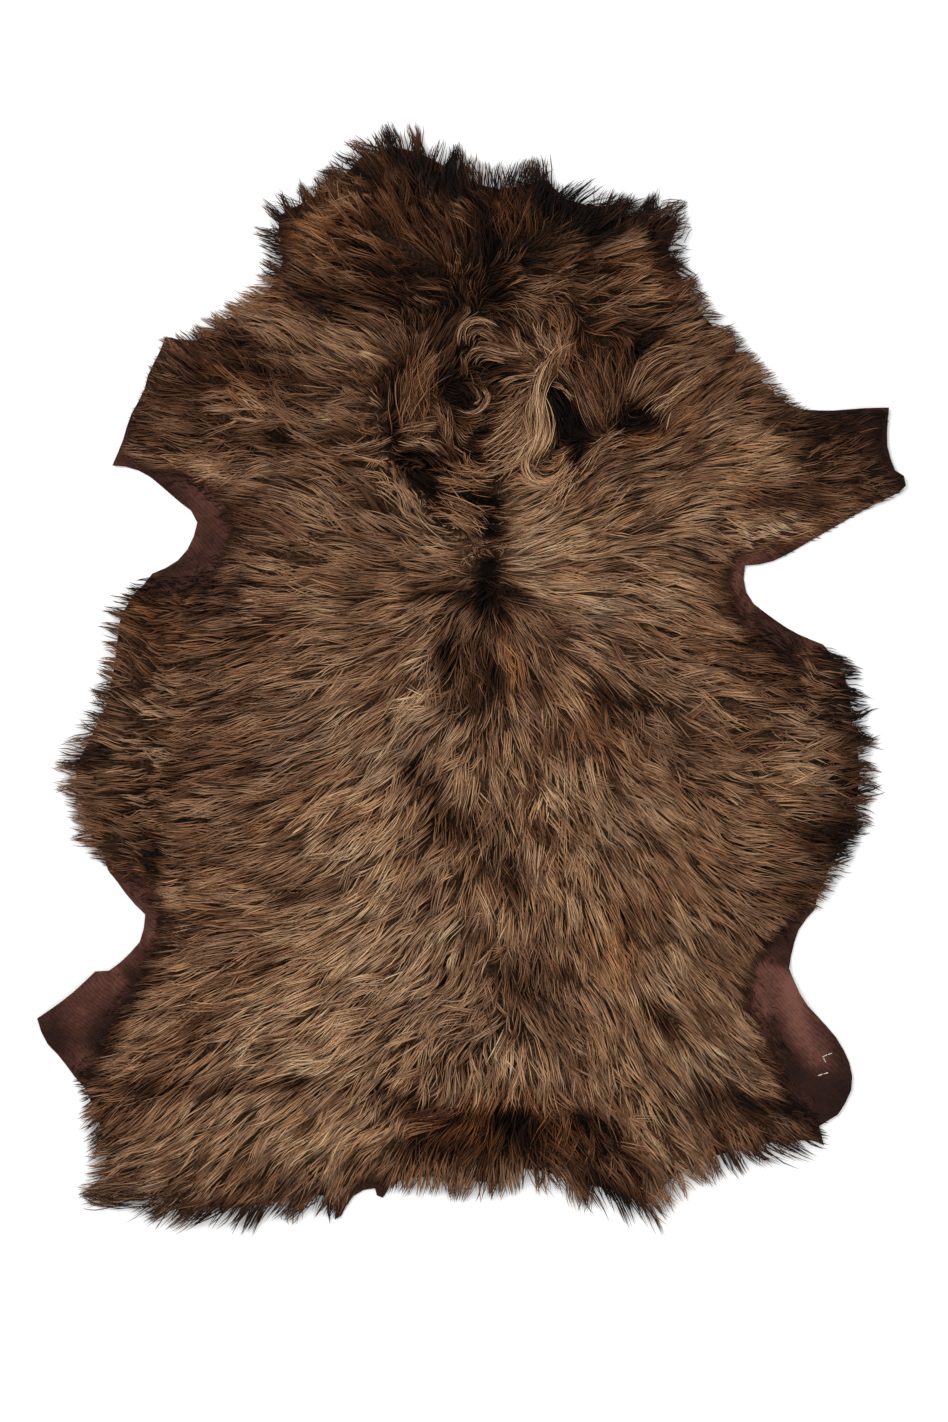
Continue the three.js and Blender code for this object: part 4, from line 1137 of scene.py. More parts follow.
@dataclass
class Combing:
    """How the wool lies: its heading all over the hide, its length, and its colour.

    Lengths are body_mm where no patch of a table changes them.
    """

    reach_mm: float = 6.4
    falls_off: float = 1.75
    body_mm: float = 56.0
    darkest: float = 0.8
    curl_weight: float = 0.6
    at_once: int = 8192
    heading: Chart = field(init=False)
    length: Chart = field(init=False)
    colour: Chart = field(init=False)
    dense: Chart = field(init=False)
    covered: Chart = field(init=False)
    unruly: Chart = field(init=False)
    ragged: Chart = field(init=False)

    def __post_init__(self) -> None:
        """Works the tables out on the grid."""
        points = Chart.points()
        shape = Chart.shape()
        self.heading = Chart(self.headings(points).reshape(*shape, 2))
        rows = as_rows(LENGTHS, 6)
        weight = patch_weight(points, rows)
        length = np.full(len(points), self.body_mm)
        for k in range(len(rows)):
            length += (rows[k, 5] - length) * weight[:, k]
        self.length = Chart((length * MM).reshape(shape))
        # The tints: the wool's own colour, with painted shade in its creases, folds, partings and pockets.
        rows = as_rows(TINTS, 7)
        tints = patch_weight(points, rows) @ (rows[:, 5:7] / 100)
        darker = self.darkest * (1 - np.exp(np.minimum(tints[:, 0], 0) / self.darkest))
        tints[:, 0] = np.maximum(tints[:, 0], 0) - darker
        self.colour = Chart(tints.reshape(*shape, 2))
        self.dense, self.covered, self.unruly, self.ragged = (
            Chart(patch_weight(points, as_rows(table, 5)).max(1).reshape(shape))
            for table in (CLOSER, TO_THE_EDGE, RUFFLED, SHAGGY)
        )

    def headings(self, points: np.ndarray) -> np.ndarray:
        """The wool's direction at each point, from the rows near it.

        Args:
            points: Places in metres, one row each.

        Returns:
            A direction for each, short where the rows disagree.
        """
        rows = np.array([row for part in LIES.values() for row in part], float)
        spots = [on_hide(rows[:, :2])]
        turned = np.radians(rows[:, 2])
        ways = [np.stack([np.cos(turned), np.sin(turned)], 1)]
        worth = [np.ones(len(rows))]
        for *_, line in CURLS.values():
            knots = on_hide(np.array(line))
            for start, end in zip(knots[:-1], knots[1:]):
                way = (end - start) / np.linalg.norm(end - start)
                steps = np.linspace(0.15, 0.85, 3)[:, None]
                spots.append(start + (end - start) * steps)
                ways.append(np.repeat(way[None], 3, 0))
                worth.append(np.full(3, self.curl_weight))
        spot, way, heft = np.concatenate(spots), np.concatenate(ways), np.concatenate(worth)
        found = np.empty((len(points), 2))
        for first in range(0, len(points), self.at_once):
            over = points[first : first + self.at_once, None] - spot[None]
            near = (over * over).sum(-1) + (self.reach_mm * MM) ** 2
            weight = heft / near**self.falls_off
            found[first : first + self.at_once] = weight @ way / weight.sum(1, keepdims=True)
        return found


class Band(Enum):
    """The parts of the wool from neck to tail, each a piece of its own, as wool_ and its name."""

    NECK = ("neck", 340, 700, 5)
    WHORLS = ("whorls", 250, 340, 5)
    SHOULDERS = ("shoulders", 160, 250, 4)
    WITHERS = ("withers", 40, 160, 4)
    RIBS = ("ribs", -110, 40, 4)
    LOINS = ("loins", -265, -110, 4)
    HIPS = ("hips", -400, -265, 4)
    RUMP = ("rump", -700, -400, 4)

    def __init__(self, label: str, low_mm: float, high_mm: float, rings: int) -> None:
        """Keeps what is said of a part.

        Args:
            label: The part's name.
            low_mm: Its end towards the tail.
            high_mm: Its end towards the neck.
            rings: The number of rings in a strand.
        """
        self.label = label
        self.low = low_mm * MM
        self.high = high_mm * MM
        self.rings = rings


@dataclass
class Guides:
    """The middle lines of locks or tufts, one row each, with what their strands share."""

    root: np.ndarray
    path: np.ndarray
    turn: np.ndarray
    wave: np.ndarray
    phase: np.ndarray
    size: np.ndarray
    tone: np.ndarray
    dark: np.ndarray
    warm: np.ndarray
    tip: np.ndarray
    height: np.ndarray

    def nearest_to(self, roots: np.ndarray, reach: float = 0.03, at_once: int = 512) -> "Guides":
        """Each root's nearest guide, among those less than reach away along the hide.

        Args:
            roots: x and y in metres, one row each, in order of y.
            reach: How far to look along the hide, in metres.
            at_once: How many roots are compared at a time.

        Returns:
            Guides with one row for each root.
        """
        found = np.empty(len(roots), int)
        order = np.argsort(self.root[:, 1])
        sorted_roots = self.root[order]
        for first in range(0, len(roots), at_once):
            part = roots[first : first + at_once]
            low = np.searchsorted(sorted_roots[:, 1], part[:, 1].min() - reach)
            high = np.searchsorted(sorted_roots[:, 1], part[:, 1].max() + reach)
            over = part[:, None] - sorted_roots[None, low:high]
            found[first : first + len(part)] = order[low + (over * over).sum(-1).argmin(1)]
        return Guides(*(getattr(self, one.name)[found] for one in fields(self)))


@dataclass
class Wool:
    """The long wool, as separate tapering strands gathered in locks."""

    ground: Ground
    combing: Combing
    finish: bpy.types.Material
    spacing_mm: float = 3.3
    width_mm: float = 1.38
    thinned: float = 0.75
    sparse_mm: float = 5.0
    least_speed: float = 0.3
    most_back: float = 0.5
    lock_mm: float = 8.0
    tuft_mm: float = 24.0
    lock_pull: float = 0.42
    tuft_pull: float = 0.22
    flatness: float = 0.7
    mean_tone: float = 0.66
    stray_mm: float = 5.0
    bare_shade: float = 0.28
    rim_shade: float = 0.19
    rim_mm: float = 17.0
    rim_share: float = 0.75
    rim_deep_mm: float = 10.0
    dense_share: float = 0.34
    side_tone: float = 0.06
    # Painted light on each strand: its top ridge lighter, its two lower corners darker.
    ridge_highlight_and_shade: tuple[float, float, float] = (-0.02, 0.03, -0.02)
    steps: int = 12
    # Past the hide's rim, in millimetres: mean and spread, with the least and the most.
    fringe_mm: Range = (8.5, 6)
    fringe_ends_mm: Range = (-4, 22)
    cropped_mm: Range = (-1, 2)
    cropped_ends_mm: Range = (-5, 2)
    ragged_mm: float = 7
    ragged_loose: float = 0.4
    # Past the outline of the wool on the solids, and how unevenly.
    allowed_mm: float = 45
    uneven_mm: float = 10
    bare_mm: float = 50
    shortest_mm: float = 9
    swing_mm: float = 26
    strand_turn: float = 4
    quick_spacing: float = 1.6
    quick_width: float = 1.5
    # How far locks and tufts wander from the lie of the wool, in degrees.
    lock_turn: float = 13.0
    tuft_turn: float = 11.0
    swing_degrees: Range = (6, 20)
    # A strand's length against the wool's, for a lock and then for each strand in it.
    lock_sizes: Range = (0.8, 1.15)
    strand_sizes: Range = (0.8, 1.12)
    pulled: Range = (0.6, 1.15)
    most_pull: float = 0.95
    thickness: Range = (0.7, 1.3)
    taper: Profile = ((0, 0.35, 0.75, 1), (0.8, 1.0, 0.7, 0.1))
    roll: float = 0.25
    sides_at: tuple[float, float, float] = (-20.0, 90.0, 200.0)
    fine_by_bare: float = 0.6
    fine_bare_mm: float = 40
    fine_dense: float = 0.26
    fine_covered: float = 0.3
    floor_mm: float = 0.3
    # How a strand's tone runs from its root to its tip.
    tone_rise: Profile = ((0, 0.25, 0.6, 1), (0.58, 0.84, 0.97, 1.0))
    dense_deeper: Profile = ((0, 0.4, 0.75, 1), (0.1, 0.28, 0.14, -0.08))
    tip_light: Profile = ((0, 0.6, 1), (0, 0, 1.0))
    # How much tone differs between locks, between tufts and between strands.
    lock_tone: float = 0.034
    tuft_tone: float = 0.045
    strand_tone: float = 0.034
    dark_locks: float = 0.11
    dark_lock_tone: float = 0.17
    light_lock_tone: float = 0.02
    dark_strands: float = 0.04
    dark_strand_tone: float = 0.13
    by_bare_shade: float = 0.14
    by_bare_mm: float = 26
    mean_warmth: float = 0.32
    # The locks that curl: their strands' rings and number, where along the line a strand starts and
    # ends, how far from it they stray, how high they rise and how their tone runs.
    curl_rings: int = 8
    curl_more: float = 1.15
    curl_starts: Range = (0, 0.55)
    curl_lengths: Range = (0.35, 0.7)
    curl_ends: Range = (0.82, 1.0)
    curl_spread: Profile = ((0, 0.5, 1), (1.7, 0.8, 0.9))
    curl_strays: Range = (0.6, 0.7)
    curl_waves: Range = (0.3, 8)
    curl_heights: Range = (0.9, 1.12)
    curl_rise: Profile = ((0, 0.2, 0.5, 1.0), (0.55, 0.95, 1.05, 0.98))
    curl_tone: Profile = ((0, 0.2, 0.5, 0.8, 1), (0.35, 0.75, 1.0, 0.98, 0.8))
    curl_shade: float = 0.12
    curl_strand_tone: float = 0.12
    curl_strand_warmth: float = 0.06
    curl_width: float = 0.72
    seed: int = 11

    def build(self) -> list[bpy.types.Object]:
        """Makes every band's strands.

        Returns:
            The finished pieces, the curled locks last.
        """
        spacing, width = self.spacing_mm, self.width_mm
        rng = np.random.default_rng(self.seed)
        locks = self.guides(self.lock_mm, self.lock_turn, self.seed + 1)
        tufts = self.guides(self.tuft_mm, self.tuft_turn, self.seed + 2)
        roots = np.concatenate([self.roots(spacing, rng), self.more_roots(spacing, rng)])
        made = []
        for band in Band:
            ours = roots[(roots[:, 1] >= band.low) & (roots[:, 1] < band.high)]
            piece = self.band(band, ours, width, locks, tufts, rng)
            made.append(piece)
            log.info("%s: %d strands, %d faces", piece.name, len(ours), len(piece.data.polygons))
        made.append(self.curled(width, rng))
        log.info("%s: %d faces", made[-1].name, len(made[-1].data.polygons))
        return made

    def curled(self, width_mm: float, rng: np.random.Generator) -> bpy.types.Object:
        """Makes the locks that curl along lines of their own, on top of the rest.

        Args:
            width_mm: A strand's width.
            rng: What the strands' unevenness is drawn from.

        Returns:
            All of them as one piece.
        """
        paths, numbers = [], []
        table = list(CURLS.values())
        for number, (lock_width, count, _, _, line) in enumerate(table):
            count = round(count * self.curl_more)
            middle = self.rounded(on_hide(np.array(line)))
            along = np.gradient(middle, axis=0)
            along /= np.linalg.norm(along, axis=1, keepdims=True)
            across = np.stack([-along[:, 1], along[:, 0]], 1)
            start = rng.uniform(*self.curl_starts, count)
            end = start + rng.uniform(*self.curl_lengths, count)
            end = np.minimum(end, rng.uniform(*self.curl_ends, count))
            share = np.linspace(0, 1, self.steps + 1)
            spot = start[:, None] + (end - start)[:, None] * share
            low = np.minimum((spot * (len(middle) - 1)).astype(int), len(middle) - 2)
            part = (spot * (len(middle) - 1) - low)[..., None]
            beside, drift = self.curl_strays
            wave, waves = self.curl_waves
            aside = rng.normal(0, beside, count)[:, None] * np.interp(spot, *self.curl_spread)
            aside += rng.normal(0, drift, count)[:, None] * (share - 0.4)
            aside += wave * np.sin(spot * waves + rng.uniform(0, 6.3, count)[:, None])
            path = middle[low] * (1 - part) + middle[low + 1] * part
            path += across[low] * (aside * lock_width * MM)[..., None]
            paths.append(path)
            numbers.append(np.full(count, number))
        path, number = np.concatenate(paths), np.concatenate(numbers)
        own = np.array([row[2:4] for row in table])[number]
        count, rings = len(path), self.curl_rings
        share = np.linspace(0, 1, rings) ** 0.95
        line = self.at_shares(path, share)
        floor, top = self.ground.skin_top.at(line), self.ground.wool_top.at(line)
        rise = np.interp(share, *self.curl_rise)
        height = floor + (top - floor) * rise * rng.uniform(*self.curl_heights, count)[:, None]
        tone = self.mean_tone - self.curl_shade + own[:, :1]
        tone += rng.normal(0, self.curl_strand_tone, count)[:, None]
        tone = tone * np.interp(share, *self.curl_tone)
        warm = own[:, 1] + rng.normal(0, self.curl_strand_warmth, count)
        colours = np.clip(tone, 0.03, 0.99), np.clip(warm, 0.02, 0.98)
        width = width_mm * self.curl_width
        return self.mesh("wool_curls", line, height, share, colours, width, rng)

    def rounded(self, knots: np.ndarray) -> np.ndarray:
        """Turns a line's few points into a smooth line of many, by cutting its corners.

        Args:
            knots: The few points, in order.

        Returns:
            The many, in order.
        """
        for _ in range(4):
            start, end = knots[:-1], knots[1:]
            inner = np.stack([start * 0.75 + end * 0.25, start * 0.25 + end * 0.75], 1)
            knots = np.concatenate([knots[:1], inner.reshape(-1, 2), knots[-1:]])
        return knots

    def at_shares(self, path: np.ndarray, share: np.ndarray) -> np.ndarray:
        """Reads points at shares of the lines' lengths.

        Args:
            path: The lines, each a row of points.
            share: The shares, from 0 to 1.

        Returns:
            A row of points for each line.
        """
        at = share * (path.shape[1] - 1)
        low = np.minimum(at.astype(int), path.shape[1] - 2)
        part = (at - low)[None, :, None]
        return path[:, low] * (1 - part) + path[:, low + 1] * part

    def roots(self, spacing_mm: float, rng: np.random.Generator) -> np.ndarray:
        """Where the strands grow: an uneven grid over the wool, and only on the skin.

        Args:
            spacing_mm: How far apart they stand.
            rng: What their unevenness is drawn from.

        Returns:
            Places in metres, one row each.
        """
        step = spacing_mm * MM
        spots = Chart.spaced(step)
        spots[:, ::2, 0] += step / 2
        spots = spots.reshape(-1, 2) + rng.uniform(-0.5, 0.5, (spots.size // 2, 2)) * step
        past = np.minimum(self.ground.in_wool.at(spots) - 1 * MM, 0) / (self.sparse_mm * MM)
        chance = np.exp(past)
        chance = np.maximum(chance, self.combing.covered.at(spots))
        rim = np.exp(-np.maximum(self.ground.in_wool.at(spots), 0) / (self.rim_mm * MM))
        closer = np.maximum(self.combing.dense.at(spots), rim)
        chance *= self.thinned + (1 - self.thinned) * closer
        grows = rng.uniform(0, 1, len(spots)) < chance
        spots = spots[grows & (self.ground.in_skin.at(spots) > 0.5 * MM)]
        back = rng.uniform(0, self.most_back, len(spots)) * self.full_length(spots)
        back *= 0.35 + 0.65 * smooth_step(self.ground.in_hide.at(spots) / (30 * MM))
        for _ in range(6):
            way, speed = self.lie_at(spots)
            moved = spots - way * (speed * back / 6)[:, None]
            stays = (self.ground.in_wool.at(moved) > 1 * MM) & (self.ground.in_skin.at(moved) > 1 * MM)
            spots = np.where(stays[:, None], moved, spots)
        return spots

    def more_roots(self, spacing_mm: float, rng: np.random.Generator) -> np.ndarray:
        """Where more strands grow: along the wool's rim, unless cut or bare, and where it is dense.

        Args:
            spacing_mm: How far apart they stand.
            rng: What their unevenness is drawn from.

        Returns:
            Places in metres, one row each.
        """
        step = spacing_mm * MM
        spots = Chart.spaced(step).reshape(-1, 2)
        spots += rng.uniform(-0.5, 0.5, spots.shape) * step
        inside = self.ground.in_hide.at(spots)
        ragged = self.combing.ragged.at(spots)
        chance = (self.rim_share + 0.3 * ragged) * np.exp(-np.abs(inside) / (self.rim_deep_mm * MM))
        chance *= self.ground.clear_of_bare(spots, 30)
        chance += self.dense_share * self.combing.dense.at(spots)
        chance *= 1 - self.combing.covered.at(spots)
        grows = (rng.uniform(0, 1, len(spots)) < chance) & (self.ground.in_skin.at(spots) > 1 * MM)
        return spots[grows & (self.ground.in_wool.at(spots) > -3 * MM)]

    def lie_at(self, spots: np.ndarray) -> tuple[np.ndarray, np.ndarray]:
        """Reads the lie of the wool.

        Args:
            spots: Places in metres, one row each.

        Returns:
            The wool's direction, and how far of its length it runs along the hide.
        """
        way = self.combing.heading.at(spots)
        agreed = np.linalg.norm(way, axis=1)
        speed = np.clip(1.3 * agreed - 0.1, self.least_speed, 1.0)
        return way / np.maximum(agreed, 1e-6)[:, None], speed

    def walk(
        self, roots: np.ndarray, turn: np.ndarray, wave: np.ndarray, phase: np.ndarray,
        length: np.ndarray, allow: np.ndarray, overhang: np.ndarray,
    ) -> np.ndarray:
        """Lets strands run with the lie of the wool until they are long enough or past the rim.

        Args:
            roots: Where they start, one row each.
            turn: How far each is turned from the lie, in radians.
            wave: How far each swings to either side, in radians.
            phase: Where its swing starts, in radians.
            length: Its length in metres.
            allow: How far it may run past the wool's outline, in metres.
            overhang: How far it may run past the hide's outline, in metres.

        Returns:
            Points for each strand at even shares of its final length, steps + 1 of them.
        """
        path = np.empty((len(roots), self.steps + 1, 2))
        path[:, 0] = roots
        ended = np.full(len(roots), float(self.steps))
        for k in range(self.steps):
            way, speed = self.lie_at(path[:, k])
            run = k / self.steps * length / (self.swing_mm * MM) * 2 * np.pi
            angle = turn + wave * np.sin(run + phase)
            cos, sin = np.cos(angle), np.sin(angle)
            turned = np.stack(
                [way[:, 0] * cos - way[:, 1] * sin, way[:, 0] * sin + way[:, 1] * cos], 1
            )
            path[:, k + 1] = path[:, k] + turned * (speed * length / self.steps)[:, None]
            past = self.ground.in_wool.at(path[:, k + 1]) < -allow
            past |= self.ground.in_hide.at(path[:, k + 1]) < -overhang
            ended = np.where(past & (ended > k), np.maximum(k, 1), ended)
        share = np.linspace(0, 1, self.steps + 1)[None] * ended[:, None]
        low = np.minimum(share.astype(int), self.steps - 1)
        part = (share - low)[..., None]
        row = np.arange(len(roots))[:, None]
        return path[row, low] * (1 - part) + path[row, low + 1] * part

    def guides(self, gap_mm: float, turn_degrees: float, seed: int) -> Guides:
        """The middle lines of locks or tufts, with what their strands share.

        Args:
            gap_mm: How far apart they stand.
            turn_degrees: How far they wander from the lie of the wool.
            seed: What their unevenness is drawn from.

        Returns:
            All of them.
        """
        rng = np.random.default_rng(seed)
        roots = self.roots(gap_mm, rng)
        count = len(roots)
        unruly = self.combing.unruly.at(roots)
        turn = np.radians(rng.normal(0, turn_degrees, count)) * (1 + 1.2 * unruly)
        wave = np.radians(rng.uniform(*self.swing_degrees, count)) * (1 + 0.8 * unruly)
        phase = rng.uniform(0, 2 * np.pi, count)
        size = rng.uniform(*self.lock_sizes, count)
        length = self.full_length(roots) * size
        _, cut = self.trimmed(roots)
        overhang = (2 + (8 + 8 * self.combing.ragged.at(roots)) * (1 - cut)) * MM
        allow = np.full(count, self.allowed_mm * MM)
        return Guides(
            root=roots,
            path=self.walk(roots, turn, wave, phase, length, allow, overhang),
            turn=turn,
            wave=wave,
            phase=phase,
            size=size,
            tone=rng.normal(0, 1, count),
            dark=rng.uniform(0, 1, count),
            warm=rng.normal(0, 1, count),
            tip=rng.normal(0, 1, count),
            height=rng.uniform(-1, 1, count),
        )

    def trimmed(self, roots: np.ndarray) -> tuple[np.ndarray, np.ndarray]:
        """Reads what shortens the wool.

        Args:
            roots: Where the strands grow, in metres.

        Returns:
            How near bare skin each root is, and how closely its wool is cut off at the rim.
        """
        covered = self.combing.covered.at(roots)
        bare = (1 - self.ground.clear_of_bare(roots, self.bare_mm)) * (1 - covered)
        return bare, np.maximum(bare, covered)

    def full_length(self, roots: np.ndarray) -> np.ndarray:
        """How long the wool is: shorter towards where the skin is bare.

        Args:
            roots: Where the strands grow, in metres.

        Returns:
            Its length at each, in metres.
        """
        near = self.ground.clear_of_bare(roots, self.bare_mm)
        near = np.maximum(near, self.combing.covered.at(roots))
        shortest = self.shortest_mm * MM
        return shortest + (self.combing.length.at(roots) - shortest) * near

    def band(
        self, band: Band, roots: np.ndarray, width_mm: float, locks: Guides, tufts: Guides,
        rng: np.random.Generator,
    ) -> bpy.types.Object:
        """Makes one band's strands as one mesh.

        Args:
            band: Which part of the hide.
            roots: Where its strands grow.
            width_mm: Their width.
            locks: The locks' guides.
            tufts: The tufts' guides.
            rng: What the strands' unevenness is drawn from.

        Returns:
            The finished piece.
        """
        roots = roots[np.argsort(roots[:, 1])]
        count = len(roots)
        lock, tuft = locks.nearest_to(roots), tufts.nearest_to(roots)
        bare, cut = self.trimmed(roots)
        ragged = self.combing.ragged.at(roots)
        fringe = np.clip(rng.normal(*self.fringe_mm, count), *self.fringe_ends_mm)
        cropped = np.clip(rng.normal(*self.cropped_mm, count), *self.cropped_ends_mm)
        overhang = ((fringe + self.ragged_mm * ragged) * (1 - cut) + cropped * cut) * MM
        beyond = np.maximum(-self.ground.in_wool.at(roots), 0)
        allow = beyond + rng.uniform(0, self.uneven_mm, count) * MM + (1 - bare) * self.allowed_mm * MM
        turn = 0.75 * lock.turn + 0.6 * tuft.turn
        turn += np.radians(rng.normal(0, self.strand_turn, count))
        length = self.full_length(roots) * lock.size * rng.uniform(*self.strand_sizes, count)
        phase = lock.phase + rng.normal(0, 0.35, count)
        path = self.walk(roots, turn, lock.wave, phase, length, allow, overhang)
        share = np.linspace(0, 1, self.steps + 1)[None, :, None]
        loose = 1 - self.ragged_loose * ragged
        pull = (loose * rng.uniform(*self.pulled, count))[:, None, None] * share**1.3
        tuft_pull = self.tuft_pull * share**1.2
        gathered = 1 + 1.2 * self.combing.dense.at(roots) + 0.8 * self.combing.unruly.at(roots)
        within = smooth_step(self.ground.in_hide.at(roots) / (self.bare_mm * MM))
        gathered *= (1 - bare) * (0.2 + 0.8 * within)
        path += tuft_pull * (tuft.path - path) * gathered[:, None, None]
        path += np.minimum(self.lock_pull * pull, self.most_pull) * (lock.path - path)
        share = np.linspace(0, 1, band.rings) ** 0.92
        line = self.at_shares(path, share)
        height = self.heights(line, share, lock, tuft, rng)
        colours = self.tones(line, share, lock, tuft, rng)
        return self.mesh(f"wool_{band.label}", line, height, share, colours, width_mm, rng)

    def mesh(
        self, name: str, line: np.ndarray, height: np.ndarray, share: np.ndarray,
        colours: tuple[np.ndarray, np.ndarray], width_mm: float, rng: np.random.Generator,
    ) -> bpy.types.Object:
        """Makes strands as tapering three-sided solids, all in one mesh.

        Args:
            name: The piece's name.
            line: Each strand's rings, x and y in metres.
            height: The rings' heights in metres.
            share: How far along the strand each ring is, from 0 to 1.
            colours: The rings' tones and the strands' warmth.
            width_mm: The strands' width.
            rng: What their unevenness is drawn from.

        Returns:
            The finished piece.
        """
        count, rings = height.shape
        centre = np.concatenate([line, height[..., None]], -1)
        along = np.gradient(centre, axis=1)
        along /= np.maximum(np.linalg.norm(along, axis=-1, keepdims=True), 1e-9)
        side = np.stack([-along[..., 1], along[..., 0], np.zeros_like(height)], -1)
        side /= np.maximum(np.linalg.norm(side, axis=-1, keepdims=True), 1e-9)
        upward = np.cross(along, side)
        upward *= np.where(upward[..., 2:] < 0, -1.0, 1.0)
        roll = rng.normal(0, self.roll, count)[:, None, None, None]
        turns = roll + np.radians(self.sides_at)[None, None, :, None]
        taper = np.interp(share, *self.taper)
        root = line[:, 0]
        from_bare = self.ground.clear_of_bare(root, self.fine_bare_mm)
        fine = self.fine_by_bare + (1 - self.fine_by_bare) * from_bare
        finer = self.fine_dense * self.combing.dense.at(root)
        fine *= 1 - finer - self.fine_covered * self.combing.covered.at(root)
        thick = (fine * rng.uniform(*self.thickness, count))[:, None] * taper[None] * width_mm * MM / 2
        around = np.cos(turns) * side[:, :, None] + self.flatness * np.sin(turns) * upward[:, :, None]
        corners = centre[:, :, None] + around * thick[:, :, None, None]
        points = np.concatenate([corners[:, :-1].reshape(count, -1, 3), centre[:, -1:]], 1)
        points[..., 2] = np.maximum(points[..., 2], self.floor_mm * MM)
        tone, warm = colours
        slope = rng.normal(0, self.side_tone, count)[:, None, None]
        # Each strand gets a painted highlight on its ridge and painted shade on its lower corners. Its left
        # and right sides differ at random.
        toned = tone[:, :-1, None] * (1 + slope * np.array([1.0, 0.0, -1.0]) + self.ridge_highlight_and_shade)
        warmed = warm[:, None, None] + np.array([-0.004, 0.0, 0.004])
        ring_uv = np.stack(np.broadcast_arrays(np.clip(toned, 0.005, 0.995), warmed), -1)
        ring_uv = ring_uv.reshape(count, -1, 2)
        uv = np.concatenate([ring_uv, np.stack([tone[:, -1], warm], -1)[:, None]], 1)
        faces = self.strand_faces(rings)
        each = (rings - 1) * 3 + 1
        corner = (faces[None] + (np.arange(count) * each)[:, None, None]).reshape(-1)
        mesh = bpy.data.meshes.new(name)
        mesh.vertices.add(count * each)
        mesh.vertices.foreach_set("co", points.astype(np.float32).ravel())
        mesh.loops.add(len(corner))
        mesh.loops.foreach_set("vertex_index", corner.astype(np.int32))
        mesh.polygons.add(len(corner) // 3)
        mesh.polygons.foreach_set("loop_start", np.arange(0, len(corner), 3, dtype=np.int32))
        layer = mesh.uv_layers.new(name=UV_NAME)
        layer.data.foreach_set("uv", uv.reshape(-1, 2)[corner].astype(np.float32).ravel())
        mesh.update(calc_edges=True)
        mesh.shade_smooth()
        mesh.materials.append(self.finish)
        piece = bpy.data.objects.new(name, mesh)
        bpy.context.scene.collection.objects.link(piece)
        return piece

    def strand_faces(self, rings: int) -> np.ndarray:
        """A strand's triangles, outward, with its root closed and its last ring a point.

        Args:
            rings: The number of rings in it.

        Returns:
            Three corners' numbers for each.
        """
        faces = [(0, 2, 1)]
        for ring in range(rings - 2):
            for k in range(3):
                a, b = ring * 3 + k, ring * 3 + (k + 1) % 3
                faces += [(a, b, b + 3), (a, b + 3, a + 3)]
        tip, last = (rings - 1) * 3, (rings - 2) * 3
        faces += [(last + k, last + (k + 1) % 3, tip) for k in range(3)]
        return np.array(faces)

    def heights(
        self, line: np.ndarray, share: np.ndarray, lock: Guides, tuft: Guides,
        rng: np.random.Generator,
    ) -> np.ndarray:
        """How high each ring lies: up from the skin, then along the top of the wool.

        Args:
            line: Each strand's rings, x and y in metres.
            share: How far along the strand each ring is, from 0 to 1.
            lock: The strands' locks.
            tuft: The strands' tufts.
            rng: What their unevenness is drawn from.

        Returns:
            Heights in metres, one row for each strand.
        """
        floor = self.ground.skin_top.at(line)
        top = self.ground.wool_top.at(line)
        rise = 1 - (1 - share) ** 3.0
        loft = 0.92 + 0.10 * lock.height + 0.06 * tuft.height
        loft = loft * rng.uniform(0.78, 1.08, len(line))
        lifted = np.maximum(top - floor, 1.6 * MM) * rise[None] * loft[:, None]
        return np.maximum(floor + lifted + 0.2 * MM, 0.8 * MM)

    def tones(
        self, line: np.ndarray, share: np.ndarray, lock: Guides, tuft: Guides,
        rng: np.random.Generator,
    ) -> tuple[np.ndarray, np.ndarray]:
        """Works out the strands' colours.

        Args:
            line: Each strand's rings, x and y in metres.
            share: How far along the strand each ring is, from 0 to 1.
            lock: The strands' locks.
            tuft: The strands' tufts.
            rng: What their unevenness is drawn from.

        Returns:
            Each ring's tone and each strand's warmth, both from 0 to 1.
        """
        count = len(line)
        along = line[:, -1] - line[:, 0]
        along /= np.maximum(np.linalg.norm(along, axis=1, keepdims=True), 1e-6)
        shift = rng.normal(0, self.stray_mm * MM, count)[:, None] * along
        patch = self.combing.colour.at(line + shift[:, None])
        broad = value_noise(line[:, 0], 70, 3) * 0.07 + value_noise(line[:, 0], 26, 4) * 0.07
        bare = 1 - self.ground.clear_of_bare(line[:, 0], 30)
        bare *= 1 - 0.8 * self.combing.covered.at(line[:, 0])
        tone = self.mean_tone + broad - self.bare_shade * bare
        dense = self.combing.dense.at(line[:, 0])
        mixed = 1 + 0.9 * dense
        tone += mixed * (self.lock_tone * lock.tone + self.tuft_tone * tuft.tone)
        tone += rng.normal(0, self.strand_tone, count)
        tone -= np.where(lock.dark < self.dark_locks, self.dark_lock_tone, -self.light_lock_tone)
        fleck = smooth_step((value_noise(line[:, 1], 14, 6) - 0.3) / 0.45)
        tone += 0.025 - 0.2 * fleck * (1 - 0.5 * dense)
        tone -= np.where(rng.uniform(0, 1, count) < self.dark_strands, self.dark_strand_tone, 0.0)
        rise = np.interp(share, *self.tone_rise)
        deeper = np.interp(share, *self.dense_deeper)
        rise = rise[None] - dense[:, None] * deeper[None]
        tip = np.interp(share, *self.tip_light)
        rim = np.exp(-np.maximum(self.ground.in_hide.at(line), 0) / (self.rim_mm * MM))
        by_bare = 1 - self.ground.clear_of_bare(line, self.by_bare_mm)
        by_bare *= 1 - self.combing.covered.at(line)
        rim *= 1 - 0.6 * self.combing.covered.at(line) - 0.3 * dense[:, None]
        shade = patch[..., 0] - self.rim_shade * rim - self.by_bare_shade * by_bare
        toned = np.clip(tone[:, None] + shade, 0.05, 1) * rise
        toned += (0.05 + 0.04 * lock.tip)[:, None] * tip[None]
        warm = self.mean_warmth + patch[:, 2, 1] + value_noise(line[:, 0], 45, 5) * 0.10
